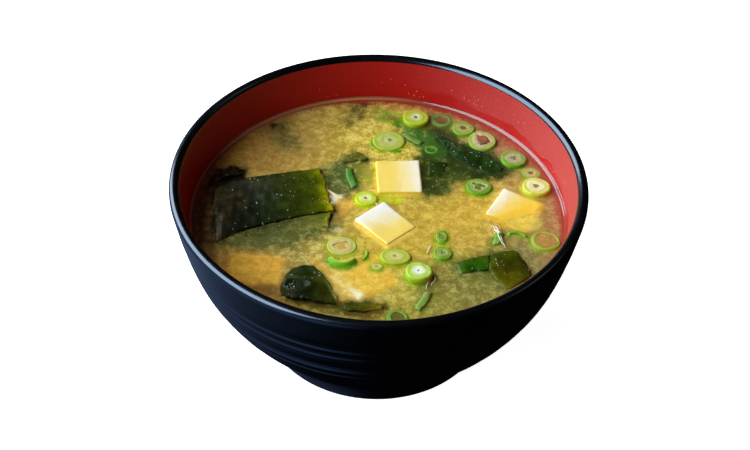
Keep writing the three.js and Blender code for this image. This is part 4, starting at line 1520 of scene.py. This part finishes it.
def layOver(colour, amount, over, share):
    # lays a tone over what is there already, thick where share is high
    total = amount + share - amount * share
    keep = (amount * (1 - share) / np.maximum(total, 1e-6))[:, None]
    return colour * keep + np.array(over) * (1 - keep), total


def brothVeil(points):
    # lays the sunken things over each other, deepest first, each fading out at its edge
    colour = np.zeros((len(points), 3))
    amount = np.zeros(len(points))
    for thing in sunken:
        away = np.maximum(thing["distance"](points), 0)
        share = thing["strength"] * np.exp(-(away / thing["reach"]) ** 1.3)
        colour, amount = layOver(colour, amount, thing["colour"], share)
    return colour, amount


def brothBody(points):
    # the broth's own tone, drifting from place to place
    places = np.array([(x, y) for x, y, _, _ in brothTints], float)
    tones = np.array([(*tone(*colour)[:3], lumpy) for _, _, colour, lumpy in brothTints])
    gap = ((points[:, None] - places[None]) ** 2).sum(2)
    weight = 1 / (gap + 40) ** 1.5
    return weight @ tones / weight.sum(1)[:, None]


def wallVeil(points, colour, amount, b):
    # near the wall the broth is thin and the red shows through, more so at the back right
    edge = wallRadius(level)
    radius = np.hypot(points[:, 0], points[:, 1])
    turn = np.arctan2(points[:, 1], points[:, 0])
    inward = edge - radius + 0.5 * waves(points, 6, 90) * softStep(edge - radius, 1, 3)
    away = np.maximum(inward, 0)
    for facing, shade, reach, more, strength in b["thinning"]:
        reach = reach + more * softStep(np.cos(turn - math.radians(facing)), 0.3, 1)
        share = strength * np.exp(-(away / reach) ** 1.8)
        colour, amount = layOver(colour, amount, tone(*shade)[:3], share)
    # a painted highlight along the broth's very edge, at the back left
    facing, shade, strength, width = b["litEdge"]
    lit = strength * np.exp(-(((edge - radius - 0.1) / width) ** 2))
    lit *= softStep(np.cos(turn - math.radians(facing)), 0.3, 0.8)
    colour += (np.array(tone(*shade)[:3]) - colour) * lit[:, None]
    return colour, np.maximum(amount, lit), np.exp(-(away / 1.2) ** 2)


def brothTop(b):
    # rings of evenly spread points, closer together near the wall
    edge = float(wallRadius(level + b["climb"] * 0.8)) + 0.03
    inside = np.arange(b["step"], edge - b["edgeBand"], b["step"])
    nearWall = np.arange(edge - b["edgeBand"], edge, b["edgeStep"])
    points, rings = [np.zeros((1, 2))], []
    first = 1
    for radius in (*inside, *nearWall, edge):
        count = max(6, round(2 * math.pi * radius / b["step"]))
        points.append(roundAbout(radius, circleOf(count)))
        rings.append(range(first, first + count))
        first += count
    middle = rings[0]
    faces = [(0, middle[i], middle[(i + 1) % len(middle)]) for i in range(len(middle))]
    for inner, outer in zip(rings, rings[1:]):
        faces += zipRings(inner, outer)
    return np.vstack(points), faces, rings[-1], edge


def brothHeight(flat, edge, b):
    height = level + b["climb"] * np.exp(-np.maximum(edge - np.hypot(*flat.T), 0) / b["climbReach"])
    for thing in rises:
        close = np.linalg.norm(flat - thing["middle"], axis=1) < thing["around"]
        height[close] = np.maximum(height[close], level + thing["rise"](flat[close]))
    return height


def makeBroth(b, material):
    flat, faces, last, edge = brothTop(b)
    colour, amount = brothVeil(flat)
    colour, amount, clear = wallVeil(flat, colour, amount, b)
    layers = [np.column_stack([flat, brothHeight(flat, edge, b)])]
    # the hidden body follows the inside of the bowl down to its floor
    first = len(flat)
    for z in np.linspace(level - 1, bowl["floor"] + b["bottomGap"], 12):
        ring = roundAbout(float(wallRadius(z)) - b["gap"], circleOf(len(last)))
        layers.append(np.column_stack([ring, np.full(len(last), z)]))
        under = range(first, first + len(last))
        faces += zipRings(last, under)
        last, first = under, first + len(last)
    faces.append(tuple(last)[::-1])
    mesh = newMesh("misoBroth", np.vstack(layers), faces)
    spare = first - len(flat)
    paintPoints(mesh, "veil", np.vstack([np.column_stack([colour, amount]), np.zeros((spare, 4))]))
    paintPoints(mesh, "body", np.vstack([brothBody(flat), np.full((spare, 4), 0.4)]))
    paintPoints(mesh, "clear", np.concatenate([clear, np.ones(spare)]))
    mesh.materials.append(material)
    settle(newPiece("misoBroth", mesh), "broth", "soup")


makeBroth(broth, finish("misoBroth", brothFinish))
print("broth poured")


# Tiny bubbles on the leaves

bubbles = {
    "perSquareMm": 0.28, "radius": 0.13, "flatness": 0.8, "seed": 5,
    "levelFrom": 0.3,  # only on faces that look up at least this much
    # their own tone, made pale in part as a painted highlight for their glints
    "tones": (tone(96, 108, 84), tone(214, 220, 200)),
}
beadFaces = 80  # of one bead


def beadTree():
    tree = newTree("beadsOnSurface", [
        ("Geometry", "Geometry"), ("Density", "Float"), ("Radius", "Float"), ("Flatness", "Float"),
        ("Seed", "Int"), ("Finish", "Material"),
    ])
    start = Wire(tree)
    given = start.add("NodeGroupInput")
    seed = given.output("Seed")
    density = start.marked("bubbly") * given.output("Density")
    bed = {"Mesh": given.output("Geometry"), "Density": density, "Seed": seed}
    spread = start.add("GeometryNodeDistributePointsOnFaces", None, bed)
    size = start.add("FunctionNodeRandomValue", {"data_type": "FLOAT"}, {2: 0.35, 3: 1.3, 8: seed}, 1)
    size = size * size * given.output("Radius")
    bead = start.add("GeometryNodeMeshIcoSphere", None, {"Radius": 1.0, "Subdivisions": 2})
    placed = start.add("GeometryNodeInstanceOnPoints", None, {
        "Points": spread, "Instance": bead, "Rotation": spread.output("Rotation"),
        "Scale": start.vector(size, size, size * given.output("Flatness")),
    })
    start.add("NodeGroupOutput", None, {"Geometry": endTree(start, placed, given.output("Finish"))})
    return tree


def growBeads(name, mesh, c, material):
    piece = grow(name, mesh, beads, {
        "Density": c["perSquareMm"] / mm**2, "Radius": c["radius"] * mm, "Flatness": c["flatness"],
        "Seed": c["seed"], "Finish": material,
    })
    settle(piece, "broth")
    print(name + ":", len(piece.data.polygons) // beadFaces)


def bubbleFinish(start):
    return {
        "Base Color": objectPlace(start).noise(2, 2).between(*bubbles["tones"]),
        "Roughness": 0.12,
        "Specular IOR Level": 0.9,
    }


def joinedCopy(pieces, keepAbove):
    # one mesh of the upward faces of several pieces, as a bed for a node tree
    shape = bmesh.new()
    for piece in pieces:
        shape.from_mesh(piece.data)
    low = [face for face in shape.faces if face.normal.z < keepAbove]
    bmesh.ops.delete(shape, geom=low, context="FACES")
    mesh = bpy.data.meshes.new("bed")
    shape.to_mesh(mesh)
    shape.free()
    return mesh


beads = beadTree()
bubbleBed = joinedCopy(leafPieces, bubbles["levelFrom"])
growBeads("leafBubbles", bubbleBed, bubbles, finish("bubbleSkin", bubbleFinish))


# Fine white roots that cling to the onion

threads = {
    "radius": 0.17,
    "sides": 6,
    "steps": 26,
    "wander": 0.18,
    "tones": (tone(228, 224, 190), tone(250, 248, 234)),
    "runs": [
        [(31.6, -5.0, 0.6), (32.4, -6.4, 0.9), (33.2, -8.2, 0.9), (34.0, -10.6, 0.7), (35.2, -13.2, 0.2)],
        [(32.6, -4.8, 0.5), (33.2, -6.6, 1.0), (33.8, -8.8, 0.8), (34.9, -11.4, 0.3)],
        [(34.0, -5.4, 0.5), (33.2, -7.0, 1.0), (32.2, -8.2, 0.8)],
        [(31.8, -6.8, 0.8), (33.4, -7.4, 1.0), (34.6, -8.6, 0.5)],
        [(13.6, -16.6, 0.3), (14.4, -14.6, 0.6), (15.0, -13.0, 0.2)],
        [(14.9, -25.6, 0.4), (14.0, -27.6, 0.3), (13.2, -30.4, 0.1)],
        [(15.6, -25.0, 0.5), (15.6, -27.0, 0.2), (14.6, -28.8, 0.1)],
        [(-1.9, 4.8, 0.3), (-1.0, 3.6, 0.5), (0.3, 2.6, 0.2)],
    ],
}


def threadFinish(start):
    return {
        "Base Color": objectPlace(start).noise(0.8, 2).between(*threads["tones"]),
        "Roughness": 0.35,
    }


def makeThreads(c):
    points, faces = [], []
    steps, sides = c["steps"], c["sides"]
    turn = circleOf(sides)[None, :, None]
    for number, run in enumerate(c["runs"]):
        line = throughPoints(run, steps)
        curl = [waves(line[:, :2], 1.6, seed) for seed in (number, number + 50)]
        line[:, :2] += c["wander"] * np.stack(curl, 1)
        line[:, 2] += level
        ahead = np.gradient(line, axis=0)
        ahead /= np.linalg.norm(ahead, axis=1)[:, None]
        across = np.cross(ahead, (0, 0, 1.0))
        across /= np.linalg.norm(across, axis=1)[:, None]
        upward = np.cross(across, ahead)
        thin = c["radius"] * np.sin(np.linspace(0.35, math.pi - 0.35, steps))[:, None, None]
        ring = across[:, None] * np.cos(turn) + upward[:, None] * np.sin(turn)
        faces += tubeFaces(steps, sides, sum(len(p) for p in points))
        points.append((line[:, None] + thin * ring).reshape(-1, 3))
    dress("rootThreads", np.vstack(points), faces, {}, finish("rootThread", threadFinish), "onion_pale")


makeThreads(threads)
print("roots laid")


# Droplets left on the wall above the broth

droplets = {
    # between two directions in degrees and two heights above the broth in mm
    "from": -38, "to": 112, "low": 1.8, "high": 8.5, "fewerFrom": 4,
    "perSquareMm": 0.5, "radius": 0.17, "flatness": 0.5, "seed": 11,
    # paler than the wall, in part a painted highlight for their glints
    "tones": (tone(196, 70, 64), tone(226, 120, 110)),
}


def dropletFinish(start):
    return {
        "Base Color": objectPlace(start).noise(4, 2).between(*droplets["tones"]),
        "Roughness": 0.12,
        "Specular IOR Level": 0.6,
    }


def makeDroplets(c):
    columns, rows = 120, 14
    angles = np.radians(np.linspace(c["from"], c["to"], columns))
    heights = level + np.linspace(c["low"], c["high"], rows)
    flat = roundAbout(wallRadius(heights)[:, None], angles)
    points = np.dstack([flat, np.repeat(heights[:, None], columns, 1)]).reshape(-1, 3)
    mesh = newMesh("wallBed", points, [f[::-1] for f in gridFaces(rows, columns)])
    crowd = softStep(waves(points, 9, 21), 0.0, 0.9)
    crowd *= 1 - softStep(points[:, 2], level + c["fewerFrom"], level + c["high"])
    paintPoints(mesh, "bubbly", crowd)
    growBeads("wallDroplets", mesh, c, finish("wallDroplet", dropletFinish))


makeDroplets(droplets)
